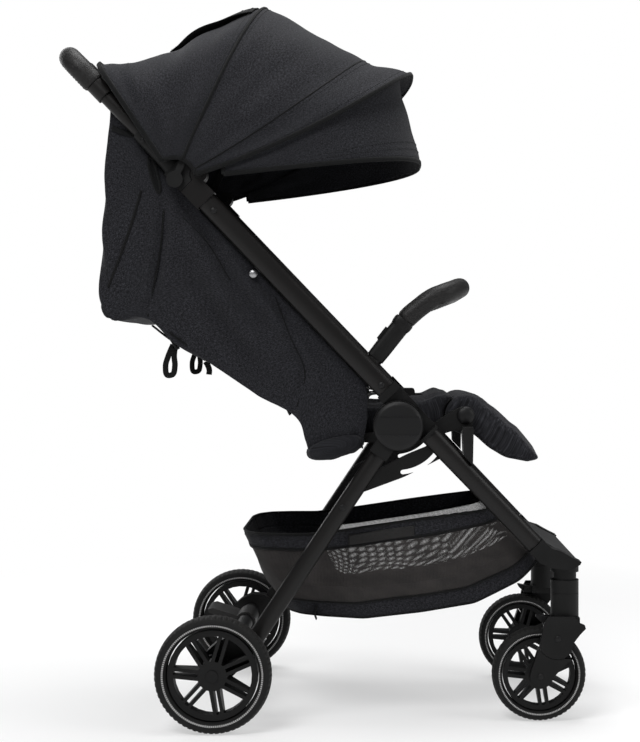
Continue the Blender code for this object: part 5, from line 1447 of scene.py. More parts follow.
            # Painted shade: a thin dark strip along each fold.
            for k, (line, wide) in enumerate(self.fold_shade_lines):
                fold_shade_strip = spline(self.wall_point(fine, line, sign, 0.0004), 80)
                yield swept(f"side_crease_{side}_{k + 1}", fold_shade_strip, facing, section(wide, 0.0012)), "lining"
            ring = TAU * np.arange(28) / 28
            c, s = np.cos(ring), np.sin(ring)
            mouth = rows_of(-0.35 + 0.0052 * c - 0.007 * s, 0.79 + 0.026 * s)
            rim = self.wall_point(fine, mouth, sign, 0.0012)
            bound = section(0.004, 0.0026)
            yield swept(f"side_opening_binding_{side}", rim, facing, bound, True), "binding"
            inner = rim.mean(axis=0) + (rim - rim.mean(axis=0)) * np.linspace(1.0, 0.04, 6)[:, None, None]
            behind = inner.mean(axis=(0, 1)) - np.array([0.0, sign * 0.05, 0.0])
            inner = np.concatenate([inner, inner[:, :1]], axis=1)
            yield sheet_piece(f"side_opening_lining_{side}", inner, behind, 0.0006), "lining"
            top = spline(self.wall_point(grid, self.zip_end, sign), 40)
            yield swept(f"zip_side_{side}", top, facing, section(0.0075, 0.0026, 8, 3)), "binding"

    def back_trims(self, grid: Array, out: Array) -> Iterator[Sewn]:
        """Bands, zip, rolled cover and seams of the back, and the cushions under its lower corners.

        Args:
            grid: the cloth before its side folds.
            out: its outward directions.

        Yields:
            Pairs of a piece and its finish.
        """
        def across(row: int, columns: tuple[int, int], count: int, lift: float) -> tuple[Array, Array]:
            """Return points along one row of the cloth, lifted off it, and their outward directions."""
            normal = resample(out[row, slice(*columns)], count)
            return resample(grid[row, slice(*columns)], count) + normal * lift, normal

        for k, (row, wide) in enumerate(((18, 0.009), (26, 0.005))):
            yield swept(f"back_band_{k + 1}", *across(row, self.band_columns, 120, 0.0012),
                        section(wide, 0.0026, 8, 3)), "binding"
        zip_line = across(22, self.seam_columns, 130, 0.0008)
        yield stitching("back_zip", *zip_line, 0.003, 0.0021, 0.0011), "thread"
        turn = np.linspace(0, 26, 90)
        roll = side_view((self.roll,), 0.0)[0] + rows_of(0.0, np.linspace(-0.184, 0.184, len(turn)), 0.0)
        roll = roll + rows_of(0.0012 * np.sin(turn), 0.0, 0.0014 * np.cos(turn * 0.7))
        yield swept("back_roll", roll, (-1.0, 0.0, -0.4), section(0.026, 0.015, 14, 2.2)), "fabric"
        x, z = self.cushion
        for side, sign in SIDES.items():
            ends = rows_of(x + HUB_X, sign * np.array([0.12, 0.16, 0.1952]), z)
            outward = (-math.sin(self.cushion_tilt), 0.0, math.cos(self.cushion_tilt))
            rounded = np.append(np.ones(18), np.linspace(0.995, 0.86, 6))
            yield swept(f"seat_roll_{side}", resample(ends, 24), outward,
                        section(0.086, 0.031, 28, 2.4), scale=rounded), "fabric"
        for k, row in enumerate((60, 98)):
            seam = across(row, self.seam_columns, 120, 0.0004)
            yield stitching(f"back_seam_{k + 1}", *seam), "thread"

    def straps(self) -> None:
        """Webbing that sets the backrest: a loop, a runner with its slider and a loose tip."""
        for side, sign in SIDES.items():
            y = sign * self.strap_y
            strip = section(0.0085, 0.0018, 8, 4)
            loop = spline(side_view(self.loop, y), 70)
            tip = spline(side_view(self.tip, y), 24)
            runner = spline(side_view(self.runner, y), 30)
            self.hang(swept(f"recline_strap_{side}", loop, (0.0, 1.0, 0.0), strip), "webbing")
            self.hang(swept(f"strap_tip_{side}", tip, (0.0, 1.0, 0.0), strip), "webbing")
            self.hang(swept(f"strap_runner_{side}", runner, (0.5, 0.0, 0.86), section(0.02, 0.0022, 8, 4)),
                      "webbing")
            self.hang(swept(f"strap_slider_{side}", side_view(self.slider, y), (0.85, 0.0, 0.5),
                            section(0.026, 0.005, 12, 4)), "black_plastic")
            LOG.info("recline strap %s: loop of %.3f m", side, run_of(loop)[-1])


@dataclass
class Pads:
    """Padded seat, backrest and calf rest, blown up by a cloth simulation and then quilted."""

    wardrobe: Wardrobe
    voxel: float = 0.005
    frames: int = 16
    pressure: float = 4.0
    cap: float = 0.0055
    channel: float = 0.0032
    pads: tuple = (("seat_pad", "seat_cushion", "front_frame", math.radians(6.8), 1, 3, "fabric_pad"),
                   ("backrest_pad", "back_cushion", "backrest", BACK_LEAN, -1, 5, "fabric_pad"),
                   ("calf_rest", "calf_cushion", "calf_rest", math.radians(-36), 1, 1, "fabric"))

    def swell(self, node: str, name: str, up: Triple) -> Piece:
        """Remesh a copy of a solid, blow it up as cloth and keep the movement small and away from its board.

        Args:
            node: the solid it starts from.
            name: the pad's name.
            up: direction away from the board.

        Returns:
            The pad's object, with no modifier left.
        """
        source = frame["nodes"][node]
        start = bpy.data.objects.new(name, source.data.copy())
        bpy.context.scene.collection.objects.link(start)
        weld = start.modifiers.new("weld", "WELD")
        weld.merge_threshold = 0.00005
        remesh = start.modifiers.new("remesh", "REMESH")
        remesh.mode = "VOXEL"
        remesh.voxel_size = self.voxel
        remesh.use_smooth_shade = True
        self.bake(start)
        rest = self.points(start)
        cloth = start.modifiers.new("cloth", "CLOTH")
        cloth.settings.use_pressure = True
        cloth.settings.uniform_pressure_force = self.pressure
        cloth.settings.effector_weights.gravity = 0.0
        cloth.settings.quality = 4
        cloth.point_cache.frame_end = self.frames
        for number in range(1, self.frames + 1):
            bpy.context.scene.frame_set(number)
        self.bake(start)
        bpy.context.scene.frame_set(1)
        moved = self.points(start)
        step = moved - rest
        size = np.linalg.norm(step, axis=1, keepdims=True)
        step = step * np.minimum(1.0, self.cap / np.maximum(size, 1e-9))
        up_way = np.array(up)
        rise = step @ up_way
        low, high = (rest @ up_way).min(), (rest @ up_way).max()
        level = np.clip(((rest @ up_way) - low) / (high - low), 0, 1)
        sideways = (step - rise[:, None] * up_way) * 0.35
        step = sideways * level[:, None] + (np.maximum(rise, 0) * level)[:, None] * up_way
        moved = rest + step
        start.data.vertices.foreach_set("co", moved.astype(np.float32).ravel())
        start.data.update()
        return start

    def bake(self, piece: Piece) -> None:
        """Replace a piece's mesh by its evaluated one and drop its modifiers.

        Args:
            piece: the piece.
        """
        graph = bpy.context.evaluated_depsgraph_get()
        made = bpy.data.meshes.new_from_object(piece.evaluated_get(graph))
        piece.modifiers.clear()
        piece.data = made

    def points(self, piece: Piece) -> Array:
        """Read a mesh's vertices.

        Args:
            piece: the piece.

        Returns:
            Its vertices in rows.
        """
        flat = np.zeros(len(piece.data.vertices) * 3, np.float32)
        piece.data.vertices.foreach_get("co", flat)
        return flat.reshape(-1, 3).astype(float)

    def quilt(self, piece: Piece, along: tuple, up: tuple, lines: tuple, depth: float = 0.0026) -> None:
        """Press sewn channels into the pad and lay a texture map in metres on it.

        The dent at distance d from a channel is depth * exp(-(d / channel)^2).

        Args:
            piece: the pad.
            along: direction across the channels.
            up: direction away from the board.
            lines: the channels' places along that direction.
            depth: how deep the thread pulls.
        """
        points = self.points(piece)
        place = points @ np.array(along)
        level = (points @ np.array(up))
        level = np.clip((level - level.min()) / (level.max() - level.min()) * 2 - 0.9, 0, 1)
        dent = sum(np.exp(-((place - line) / self.channel) ** 2) for line in lines) * depth
        points = points - np.array(up) * (dent * level)[:, None]
        piece.data.vertices.foreach_set("co", points.astype(np.float32).ravel())
        index = np.zeros(len(piece.data.loops), np.int32)
        piece.data.loops.foreach_get("vertex_index", index)
        uv = rows_of(points[:, 1], place + level * 0.006)
        layer = piece.data.uv_layers.new(name="cloth")
        layer.data.foreach_set("uv", uv[index].astype(np.float32).ravel())
        piece.data.update()
        piece.data.shade_smooth()
        smooth = piece.modifiers.new("smooth", "SUBSURF")
        smooth.levels = smooth.render_levels = 1

    def build(self) -> None:
        """Build and hang the three pads."""
        for node, name, body, lean, face, count, finish in self.pads:
            along = (math.cos(lean), 0.0, math.sin(lean))
            up = (-math.sin(lean) * face, 0.0, math.cos(lean) * face)
            low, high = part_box(node)
            piece = self.swell(node, name, up)
            places = self.points(piece) @ np.array(along)
            first, last = float(places.min()), float(places.max())
            lines = tuple(first + (last - first) * k / count for k in range(1, count))
            self.quilt(piece, along, up, lines)
            self.wardrobe.dress(piece, finish)
            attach(piece, body)
            if node == "seat_pad":
                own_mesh(piece)
            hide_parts(node)
            LOG.info("%s: %d points, %d channels", name, len(piece.data.vertices), len(lines))


@dataclass
class Basket:
    """Shopping basket: cloth band, open mesh sides, and a cloth rear end, lower strip and floor."""

    wardrobe: Wardrobe
    rim_half: float = 0.162
    low_half: float = 0.145
    rim: tuple = ((-0.2295, 0.27), (-0.1305, 0.27), (-0.072, 0.277), (0.03, 0.292), (0.1353, 0.306))
    low: tuple = ((-0.1661, 0.1535), (-0.0495, 0.1465), (0.035, 0.156), (0.1125, 0.169), (0.1775, 0.201),
                  (0.205, 0.226))
    drawn_in: tuple = ((0.0, 0.075), (0.02, 0.034), (0.07, 0.009), (0.16, 0.0), (0.84, 0.0), (0.96, 0.004),
                       (1.0, 0.02))
    tab: tuple = ((-0.118, 0.165), (-0.1215, 0.152), (-0.119, 0.145))
    band: float = 0.185
    rear_end: float = 0.215
    levels: int = 40
    around: int = 240
    foot: int = 32

    def ring(self, g: float) -> Array:
        """One level of the bag, from its rear middle round the left side to the front and back.

        A side point is rim + (low - rim) * g in side view; its half width falls from the rim's to the
        floor's, swells by 4.2 mm * sin(pi g) and is drawn in at the four corners.

        Args:
            g: 0 at the rim, 1 at the floor.

        Returns:
            Points in rows, closed on themselves.
        """
        f = np.linspace(0, 1, 90)
        rim, low = np.array(self.rim), np.array(self.low)
        upper_x = rim[0, 0] + (rim[-1, 0] - rim[0, 0]) * f
        lower_x = low[0, 0] + (low[-1, 0] - low[0, 0]) * f
        x = upper_x + (lower_x - upper_x) * g
        upper_z, lower_z = np.interp(upper_x, *rim.T), np.interp(lower_x, *low.T)
        swell = 0.0042 * math.sin(math.pi * min(1.0, g))
        z = upper_z + (lower_z - upper_z) * g
        drawn = np.interp(f, *np.array(self.drawn_in).T)
        y = self.rim_half + (self.low_half - self.rim_half) * g + swell - drawn
        x = x - swell * 1.8 * np.clip(1 - f / 0.16, 0, 1)
        side = rows_of(x + HUB_X, y, z)
        whole = np.concatenate([side, side[::-1] * np.array([1.0, -1.0, 1.0]), side[:1]])
        whole = resample(whole, self.around + 1)[:-1]
        return (np.roll(whole, 1, axis=0) + whole * 2 + np.roll(whole, -1, axis=0)) / 4

    def hang(self, piece: Piece, finish: str) -> None:
        """Dress a piece and let it ride with the rear frame.

        Args:
            piece: the piece.
            finish: its finish.
        """
        self.wardrobe.dress(piece, finish)
        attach(piece, "rear_frame")
        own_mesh(piece)
        "mesh_fabric" if finish == "mesh_fabric" else "fabric"

    def build(self) -> None:
        """Build the bag's panels, bindings, seams, patches and tabs."""
        inside = np.array([-0.03 + HUB_X, 0.0, 0.235])
        grid = np.stack([self.ring(g) for g in np.linspace(0, 1, self.levels)])
        out = outward_of(grid, inside)
        bag = folds(grid, out, (0.001, 7, 60, 0.2), (0.0008, 12, -43, 1.0), (0.0006, 5, 95, 2.2))
        closed = np.concatenate([bag, bag[:, :1]], axis=1)
        cut = int(self.band * (self.levels - 1))
        end = int(self.rear_end * self.around / 2)
        behind = np.roll(np.arange(self.around), end)[:2 * end + 1]
        ahead = np.roll(np.arange(self.around), -end)[:self.around - 2 * end + 1]
        rim = closed[:cut + 1] + np.concatenate([out, out[:, :1]], axis=1)[:cut + 1] * 0.0006
        panels = (("basket_band", rim, 0.0022, "fabric"),
                  ("basket_rear_end", bag[cut:, behind], 0.0014, "fabric"),
                  ("basket_mesh", bag[cut:self.foot + 1, ahead], 0.0006, "mesh_fabric"),
                  ("basket_floor", self.floor(bag[-1]), 0.0014, "fabric"),
                  ("basket_skirt", bag[self.foot:, ahead], 0.0014, "fabric"))
        sheets = {name: sheet_piece(name, panel, inside, thick) for name, panel, thick, _ in panels}
        trims = [*self.edges(bag, out, cut), *self.fittings(closed, cut, inside)]
        for item, finish in (*((sheets[name], finish) for name, _, _, finish in panels), *trims):
            self.hang(item, finish)
        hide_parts("basket")
        for name, panel, _, _ in panels:
            wide, area = width_of(panel), area_of(panel)
            LOG.info("%s: %.3f by %.3f m of cloth", name, wide, area / wide)

    def floor(self, ring: Array) -> Array:
        """Span the bag's lowest ring by a floor that sags by 4.5 mm * sin(pi u) sin(pi v).

        Args:
            ring: the lowest ring.

        Returns:
            Points, rows by columns by 3.
        """
        half = self.around // 2
        across = np.linspace(0, 1, 41)[None, :, None]
        floor = ring[:half][:, None] * (1 - across) + ring[::-1][:half][:, None] * across
        along = np.linspace(0, 1, half)[:, None]
        floor[..., 2] -= 0.0045 * (np.sin(math.pi * along) * np.sin(math.pi * across[..., 0]))
        return floor

    def edges(self, bag: Array, out: Array, cut: int) -> Iterator[Sewn]:
        """Bindings and stitches that run round the bag.

        Args:
            bag: its rings.
            out: their outward directions.
            cut: the ring at the band's lower edge.

        Yields:
            Pairs of a piece and its finish.
        """
        up, foot = np.array([0.0, 0.0, 1.0]), self.foot
        for name, path, facing, wide, thick in (
                ("basket_rim_binding", bag[0] + up * 0.0004, up, 0.0042, 0.0044),
                ("basket_floor_piping", bag[-1], out[-1], 0.003, 0.0034),
                ("basket_skirt_edge", bag[foot] + out[foot] * 0.0008, out[foot], 0.003, 0.002),
                ("basket_band_edge", bag[cut] + out[cut] * 0.001, out[cut], 0.0036, 0.0022)):
            yield swept(name, path, facing, section(wide, thick), True), "binding"
        for k, row in enumerate((1, 2, cut - 1)):
            yield stitching(f"basket_stitches_{k + 1}", bag[row] + out[row] * 0.001, out[row]), "thread"

    def fittings(self, closed: Array, cut: int, inside: Array) -> Iterator[Sewn]:
        """A bare leatherette patch on each side of the band, and a webbing tab under each rear corner.

        Args:
            closed: the bag's rings, each closed.
            cut: the ring at the band's lower edge.
            inside: a point inside the bag.

        Yields:
            Pairs of a piece and its finish.
        """
        x = np.linspace(-0.072, 0.024, 30) + HUB_X
        for side, sign in SIDES.items():
            patch = []
            for share in np.linspace(0.3, 0.92, 8):
                line = between(closed, share * cut)
                line = line[line[:, 1] * sign > 0.05]
                line = line[np.argsort(line[:, 0])]
                y, z = (np.interp(x, line[:, 0], line[:, k]) for k in (1, 2))
                patch.append(rows_of(x, y + sign * 0.0022, z))
            yield sheet_piece(f"basket_patch_{side}", np.stack(patch), inside, 0.0012), "leatherette"
            tab, strip = spline(side_view(self.tab, sign * 0.146), 20), section(0.02, 0.0018, 8, 4)
            yield swept(f"basket_tab_{side}", tab, (-1.0, 0.0, -0.3), strip), "webbing"


@dataclass
class Harness:
    """Five-point harness of flat webbing that meets at the buckle."""

    wardrobe: Wardrobe
    width: float = 0.022
    thick: float = 0.0018

    def strap(self, name: str, places: tuple, outward: tuple, body: str | tuple) -> None:
        """One flat strap, riding on a body, or fixed in place where it joins two.

        Args:
            name: the strap's name.
            places: its points (x from the hub, y, z).
            outward: the direction its flat side faces.
            body: what it rides on, or the two bodies that it joins.
        """
        points = spline(np.array(places) + np.array([HUB_X, 0.0, 0.0]), 60)
        made = swept(name, points, outward, section(self.width, self.thick, 10, 4))
        self.wardrobe.dress(made, "webbing")
        if isinstance(body, tuple):
            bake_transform(made)
        else:
            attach(made, body)

    def build(self) -> None:
        """Build the shoulder, lap and crotch straps and the shoulder pads."""
        along = np.array([math.cos(BACK_LEAN), math.sin(BACK_LEAN)])
        up = np.array([math.sin(BACK_LEAN), -math.cos(BACK_LEAN)])
        start = np.array([-0.1405, 0.434])

        def climb(table: tuple, sign: float) -> list[Triple]:
            """Turn rows of t up the backrest, n in front of its board and y into x from the hub, y and z."""
            return [(start[0] + along[0] * t + up[0] * n, sign * y, start[1] + along[1] * t + up[1] * n)
                    for t, n, y in table]

        for side, sign in SIDES.items():
            path = climb(((0.205, 0.0285, 0.052), (0.15, 0.0335, 0.05), (0.095, 0.0345, 0.046),
                          (0.06, 0.037, 0.04), (0.036, 0.046, 0.032)), sign)
            path += [(-0.07, sign * 0.026, 0.484), (-0.03, sign * 0.016, 0.4765)]
            self.strap(f"shoulder_strap_{side}", tuple(path), (up[0] * 0.8, 0.0, up[1] * 0.8 + 0.4),
                       ("upper_frame", "backrest"))
            cover = climb(((0.196, 0.031, 0.052), (0.15, 0.0352, 0.05), (0.104, 0.0362, 0.0465)), sign)
            cover = spline(np.array(cover) + np.array([HUB_X, 0.0, 0.0]), 40)
            pad = swept(f"shoulder_pad_{side}", cover, (up[0], 0.0, up[1]), section(0.044, 0.0085, 18, 2.8))
            self.wardrobe.dress(pad, "fabric_pad")
            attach(pad, "backrest")
            lap = ((-0.056, sign * 0.122, 0.456), (-0.052, sign * 0.098, 0.469),
                   (-0.038, sign * 0.064, 0.472), (-0.018, sign * 0.03, 0.4735),
                   (-0.008, sign * 0.0215, 0.4728))
            self.strap(f"lap_strap_{side}", lap, (0.0, 0.0, 1.0), "front_frame")
        self.strap("crotch_strap", ((0.056, 0.0, 0.452), (0.05, 0.0, 0.463), (0.04, 0.0, 0.469),
                                    (0.029, 0.0, 0.4705)), (0.0, 0.0, 1.0), "front_frame")


@dataclass
class Wheels:
    """Foam tyres with a shaped tread."""

    wardrobe: Wardrobe

    def tyre(self, name: str, centre: Triple, radius: float, bead: float, width: float,
             finish: str, blocks: int) -> Piece:
        """A foam tyre: a rounded section turned about the axle, with cross grooves in its tread.

        At turn a and section angle b the radius is middle + tall * |sin b|^(2/p) and the half width is
        wide * |cos b|^(2/p), less a groove where sin(blocks a) > 0.6 and two fine lines round the tread.

        Args:
            name: the piece's name.
            centre: the wheel's centre.
            radius: the tyre's radius.
            bead: radius at the rim.
            width: the tyre's width.
            finish: its finish.
            blocks: number of tread blocks.

        Returns:
            The object.
        """
        steps, count = blocks * 8, 40
        a, b = np.meshgrid(TAU * np.arange(steps) / steps, TAU * np.arange(count) / count, indexing="ij")
        power = 2.7
        c, s = np.cos(b), np.sin(b)
        tall, middle = (radius - bead) / 2, (radius + bead) / 2
        r = middle + np.sign(s) * np.abs(s) ** (2 / power) * tall
        y = np.sign(c) * np.abs(c) ** (2 / power) * width / 2
        tread = np.clip((s - 0.45) * 4, 0, 1)
        groove = (np.sin(a * blocks) > 0.6) * tread * np.clip((np.abs(c) - 0.12) * 8, 0, 1)
        r = r - groove * 0.0009
        rib = np.clip(1 - (np.abs(np.abs(y) - width * 0.16)) / 0.0008, 0, 1) * (s > 0.5)
        r = r - rib * 0.0008
        points = rows_of(centre[0] + r * np.cos(a), centre[1] + y, centre[2] + r * np.sin(a)).reshape(-1, 3)
        faces = grid_faces(steps + 1, count, True) % len(points)
        first, second, third = points[faces[5, :3]]
        normal = np.cross(second - first, third - first)
        centre_line = np.array([centre[0] + middle, centre[1], centre[2]])
        if (normal * (first - centre_line)).sum() < 0:
            faces = faces[:, ::-1]
        made = build_mesh(name, points, faces)
        made.data.set_sharp_from_angle(angle=math.radians(38))
        self.wardrobe.dress(made, finish)
        return made

    def build(self) -> None:
        """Build four tyres."""
        for side, sign in SIDES.items():
            for end, x, z, y, bead, width, blocks in (("rear", *REAR_WHEEL, 0.24, 0.0647, 0.0346, 64),
                                                      ("front", *FRONT_WHEEL, 0.156, 0.0534, 0.0296, 54)):
                name = f"{end}_tyre_rubber_{side}"
                made = self.tyre(name, (x, sign * y, z), z, bead, width, f"tyre_{end}", blocks)
                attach(made, f"{end}_wheel_{side}")
                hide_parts(f"{end}_tyre_{side}")
                LOG.info("%s: %d tread blocks", name, blocks)


@dataclass
class Trim:
    """Domed rivets and pins in the tubes, and a press stud on each side of the cloth."""

    wardrobe: Wardrobe
    bulge: float = 0.42
    rivets: tuple = (
        ("upper_tube", "upper_frame", -0.2631, 0.7373, 0.2112, 0.0048),
        ("lower_tube", "upper_frame", -0.0241, 0.4883, 0.2112, 0.0048),
        ("rear_leg", "rear_frame", -0.0791, 0.3143, 0.2107, 0.0044),
        ("handle", "handle", -0.3634, 0.8379, 0.2121, 0.0042),
        ("calf_hinge", "front_frame", 0.098, 0.444, 0.1712, 0.013),
        ("calf_pin", "front_frame", 0.101, 0.443, 0.175, 0.003),
        ("fork_pivot", "swing_arm_{side}", 0.2302, 0.123, 0.1862, 0.0046),
        ("axle_end", "swing_arm_{side}", 0.205, 0.0683, 0.1862, 0.0042),
        ("snap", "upper_frame", -0.208, 0.648, 0.1925, 0.0062))

    def build(self) -> None:
        """Press each dome into the outer face that carries it, on both sides."""
        for side, sign in SIDES.items():
            for k, (name, body, x, z, y, radius) in enumerate(self.rivets):
                made = scattered(f"{name}_rivet_{side}_{k + 1}", dome_shape(radius, radius * self.bulge),
                                 np.array([[x + HUB_X, sign * y, z]]), np.array([[1.0, 0.0, 0.0]]),
                                 np.array([[0.0, sign, 0.0]]))
                finish = "steel" if name == "snap" else "gloss_black"
                self.wardrobe.dress(made, finish)
                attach(made, body.format(side=side))


@dataclass
class Nodes:
    """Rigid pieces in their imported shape, each shown by a merged copy that is smooth where it is round."""

    wardrobe: Wardrobe
    limit: float = math.radians(34)
    made_anew: tuple = (
        "seat_sling", "seat_pad", "calf_rest", "arm_grip", "backrest_pad", "basket", "canopy_rear_panel",
        "canopy_front_panel", "canopy_visor", "rear_tyre_left", "rear_tyre_right", "front_tyre_left",
        "front_tyre_right", "handle_grip_left", "handle_grip_right")

    def merged(self, node: Piece, name: str) -> Piece:
        """Copy a node's mesh, merge its loose corners and mark the edges that stay crisp.

        Args:
            node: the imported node.
            name: the copy's name.

        Returns:
            The copy, linked to the scene.
        """
        size = len(node.data.vertices)
        flat = np.zeros(size * 3, np.float32)
        node.data.vertices.foreach_get("co", flat)
        spots = np.round(flat.reshape(-1, 3) / 2e-6).astype(np.int64)
        _, first, back = np.unique(spots, axis=0, return_index=True, return_inverse=True)
        corners = np.zeros(len(node.data.loops), np.int32)
        node.data.loops.foreach_get("vertex_index", corners)
        faces = back.reshape(-1)[corners].reshape(-1, 3)
        whole = (faces[:, 0] != faces[:, 1]) & (faces[:, 1] != faces[:, 2]) & (faces[:, 0] != faces[:, 2])
        faces = faces[whole]
        made = build_mesh(name, flat.reshape(-1, 3)[first], np.concatenate([faces, faces[:, 2:]], axis=1))
        made.data.set_sharp_from_angle(angle=self.limit)
        return made

    def build(self) -> None:
        """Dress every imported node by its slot, and show its copy unless another piece is made for it."""
        slots = {part["node"]: part["material_slot"] for part in frame["record"]["subparts"]}
        bodies = frame["record"]["behaviour"]["bodies"]
        owner = {node: body for body, nodes in bodies.items() for node in nodes}
        for name, node in frame["nodes"].items():
            finish = slots[name]
            if finish == "tyre":
                finish = "tyre_front" if name.startswith("front") else "tyre_rear"
            self.wardrobe.dress(node, finish)
            if name in self.made_anew:
                continue
            made = self.merged(node, f"{name}_body")
            self.wardrobe.dress(made, finish)
            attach(made, owner[name])
            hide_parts(name)
        LOG.info("%d packed nodes dressed", len(frame["nodes"]))


@dataclass
class Grips:
    """Padded leatherette covers of the handle and of the arm bar, sewn along their inner side."""

    wardrobe: Wardrobe
    bend: float = 0.038
    cross: float = 0.7125
    start: float = 0.6527
    half: float = 0.2
    trigger: float = 0.0465
    radius: float = 0.0158
    arm_radius: float = 0.0146
    arm_half: float = 0.172
    arm_bend: float = 0.045
    arm_lean: float = math.radians(51.7)
    arm_start: float = 0.075
    arm_turn: tuple = ((0.0195, 0.5908), (0.032, 0.601))
    arm_end: tuple = (0.0915, 0.63)
    housing: tuple = ((0.006, 0.96), (0.022, 0.99), (0.056, 1.0), (0.062, 1.0), (0.066, 1.1), (0.073, 1.12),
                      (0.076, 1.02))

    def cover(self, name: str, path: Array, up: tuple, radius: float, body: str, nodes: tuple,
              sew: tuple) -> None:
        """One padded tube: its radius rises over the first and last 5 mm and swells a little in between.

        Args:
            name: the piece's name.
            path: its centre line.
            up: a direction across it.
            radius: its radius.
            body: what it rides on.
            nodes: what it replaces.
            sew: the side on which it is sewn.
        """
        run = run_of(path)
        end = np.minimum(run, run[-1] - run)
        grow = np.sqrt(np.clip(1 - (1 - np.clip(end / 0.005, 0, 1)) ** 2 * 0.3, 0, 1))
        grow = grow * (1 + 0.006 * np.sin(run * 210))
        made = swept(name, path, up, section(radius * 2, radius * 2, 28), scale=grow)
        made.data.set_sharp_from_angle(angle=math.radians(50))
        self.wardrobe.dress(made, "leatherette")
        seam = path[4:-4] + np.array(sew) * radius * 1.004
        thread = stitching(f"{name}_stitches", seam, sew, 0.005, 0.0034, 0.00045)
        self.wardrobe.dress(thread, "thread")
        for item in (made, thread):
            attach(item, body)
        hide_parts(*nodes)
        LOG.info("%s: %.3f m of cover", name, run[-1])

    def handle(self) -> None:
        """Both covers of the handle bar: up the tube, round the bend and across to the trigger."""
        up = (math.sin(RAKE), 0.0, math.cos(RAKE))
        for side, sign in SIDES.items():
            turn = np.linspace(0, math.pi / 2, 24)
            climb = self.cross - self.bend + self.bend * np.sin(turn)
            t = np.concatenate([[self.start, 0.664], climb, [self.cross]])
            y = np.concatenate([[self.half] * 2, self.half - self.bend * (1 - np.cos(turn)), [self.trigger]])
            path = resample(side_view([upper_line(a) for a in t], sign * y), 110)
            self.cover(f"grip_cover_{side}", path, up, self.radius, "handle", (f"handle_grip_{side}",),
                       (-up[0], 0.0, -up[2]))

    def arm(self) -> None:
        """The arm bar's cover and the housings at its two ends.

        Each side runs up the bar's straight part, turns in a wide arc and then goes on to the cross bar.
        """
        root = np.array(upper_line(0.0913, 0.0132))
        way = np.array([math.cos(self.arm_lean), math.sin(self.arm_lean)])
        end, ahead = np.array(self.arm_end), unit(np.array([0.0255, 0.0097]))
        side = np.concatenate([[root + way * self.arm_start], self.arm_turn])
        points = rows_of(side[:, 0], self.arm_half, side[:, 1])
        a = np.linspace(0, math.pi / 2, 10)
        start = end - ahead * self.arm_bend
        bend = rows_of(start[0] + ahead[0] * self.arm_bend * np.sin(a),
                       self.arm_half - self.arm_bend * (1 - np.cos(a)),
                       start[1] + ahead[1] * self.arm_bend * np.sin(a))
        half = np.concatenate([points, bend])
        whole = np.concatenate([half, half[::-1] * np.array([1.0, -1.0, 1.0])]) + np.array([HUB_X, 0.0, 0.0])
        across = (-math.sin(self.arm_lean), 0.0, math.cos(self.arm_lean))
        path = resample(spline(resample(whole, 46), 320), 260)
        self.cover("arm_cover", path, across, self.arm_radius, "arm_bar", ("arm_grip",), (0.3, 0.0, -0.95))
        places, sizes = np.array(self.housing).T
        for side_name, sign in SIDES.items():
            core = side_view(root + places[:, None] * way, sign * self.arm_half)
            grow = np.interp(np.linspace(places[0], places[-1], 40), places, sizes)
            housing = swept(f"arm_housing_{side_name}", resample(core, 40), across,
                            section(0.0265, 0.0275, 28, 3.2), scale=grow)
            housing.data.set_sharp_from_angle(angle=math.radians(40))
            self.wardrobe.dress(housing, "black_plastic")
            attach(housing, "arm_bar")

    def build(self) -> None:
        """Build all covers."""
        self.handle()
        self.arm()


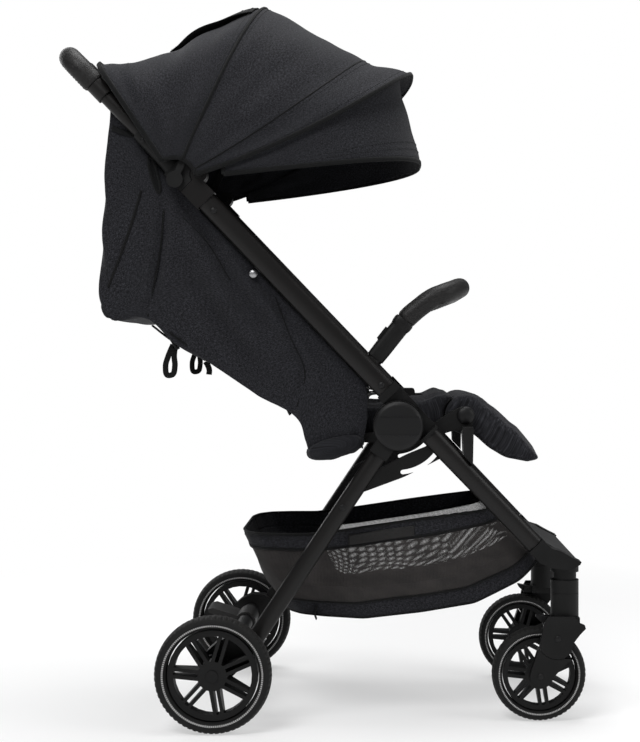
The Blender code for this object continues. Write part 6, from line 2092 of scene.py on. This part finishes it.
@dataclass
class Studio:
    """Camera at the photograph's view, pale floor and backdrop, soft lamps."""

    wardrobe: Wardrobe
    camera_place: Triple = (0.0836, -2.5475, 0.543)
    lens: float = 79.6
    sensor: float = 36.0
    shift: Pair = (-60 / 742, -24 / 742)
    far: float = 60.0
    aim: Triple = (0.0, 0.0, 0.45)
    floor_reach: float = 7.0
    floor_drop: float = 0.0002
    lamps: tuple = (("key", (-1.0, -2.1, 2.9), 1.4, 66), ("fill", (2.6, -1.2, 1.6), 1.6, 24),
                    ("top", (0.1, 0.3, 3.0), 1.6, 60), ("back", (-1.6, 2.4, 1.8), 1.6, 26))

    def lamp(self, name: str, place: tuple, size: float, power: float) -> None:
        """One square area lamp that faces the stroller's middle.

        Args:
            name: the lamp's name.
            place: where it hangs.
            size: length of its side.
            power: its watts.
        """
        data = bpy.data.lights.new(name, "AREA")
        data.size = size
        data.energy = power
        made = bpy.data.objects.new(name, data)
        made.location = place
        aim = np.array(self.aim) - np.array(place)
        fall = math.acos(-aim[2] / np.linalg.norm(aim))
        made.rotation_euler = (fall, 0.0, math.atan2(aim[1], aim[0]) - math.pi / 2)
        bpy.context.scene.collection.objects.link(made)

    def build(self) -> None:
        """Set up the camera, the lights, the world and the floor."""
        scene = bpy.context.scene
        data = bpy.data.cameras.new("camera")
        data.lens = self.lens
        data.sensor_width = self.sensor
        data.shift_x, data.shift_y = self.shift
        data.clip_end = self.far
        camera = bpy.data.objects.new("camera", data)
        camera.location = self.camera_place
        camera.rotation_euler = (math.pi / 2, 0.0, 0.0)
        scene.collection.objects.link(camera)
        scene.camera = camera
        scene.view_settings.view_transform = "Standard"
        for name, place, size, power in self.lamps:
            self.lamp(name, place, size, power)
        world = bpy.data.worlds.new("world")
        scene.world = world
        s = Shader(world.name, world)
        path = s.node("ShaderNodeLightPath")
        seen = s.value(path.outputs["Is Camera Ray"]).larger(s.value(path.outputs["Is Transmission Ray"]))
        soft = s.node("ShaderNodeBackground", Color=(0.95, 0.97, 1.0), Strength=0.17)
        white = s.node("ShaderNodeBackground", Color=(1.0, 1.0, 1.0), Strength=1.0)
        s.show(seen, soft.outputs[0], white.outputs[0])
        corners = np.array([[-1, -1], [1, -1], [1, 1], [-1, 1]]) * self.floor_reach
        corners = np.concatenate([corners, np.full((4, 1), -self.floor_drop)], axis=1)
        floor = build_mesh("floor", corners, np.array([[0, 1, 2, 3]]), smooth=False)
        self.wardrobe.dress(floor, "studio_paint")


def main() -> None:
    """Build the looks in order."""
    logging.basicConfig(level=logging.INFO, format="%(name)s: %(message)s")
    wardrobe = Wardrobe()
    Studio(wardrobe).build()
    Nodes(wardrobe).build()
    for maker in (Canopy, Sling, Pads, Basket, Harness, Wheels, Grips, Trim):
        maker(wardrobe).build()
        LOG.info("%s built", maker.__name__)


if __name__ == "__main__":
    main()
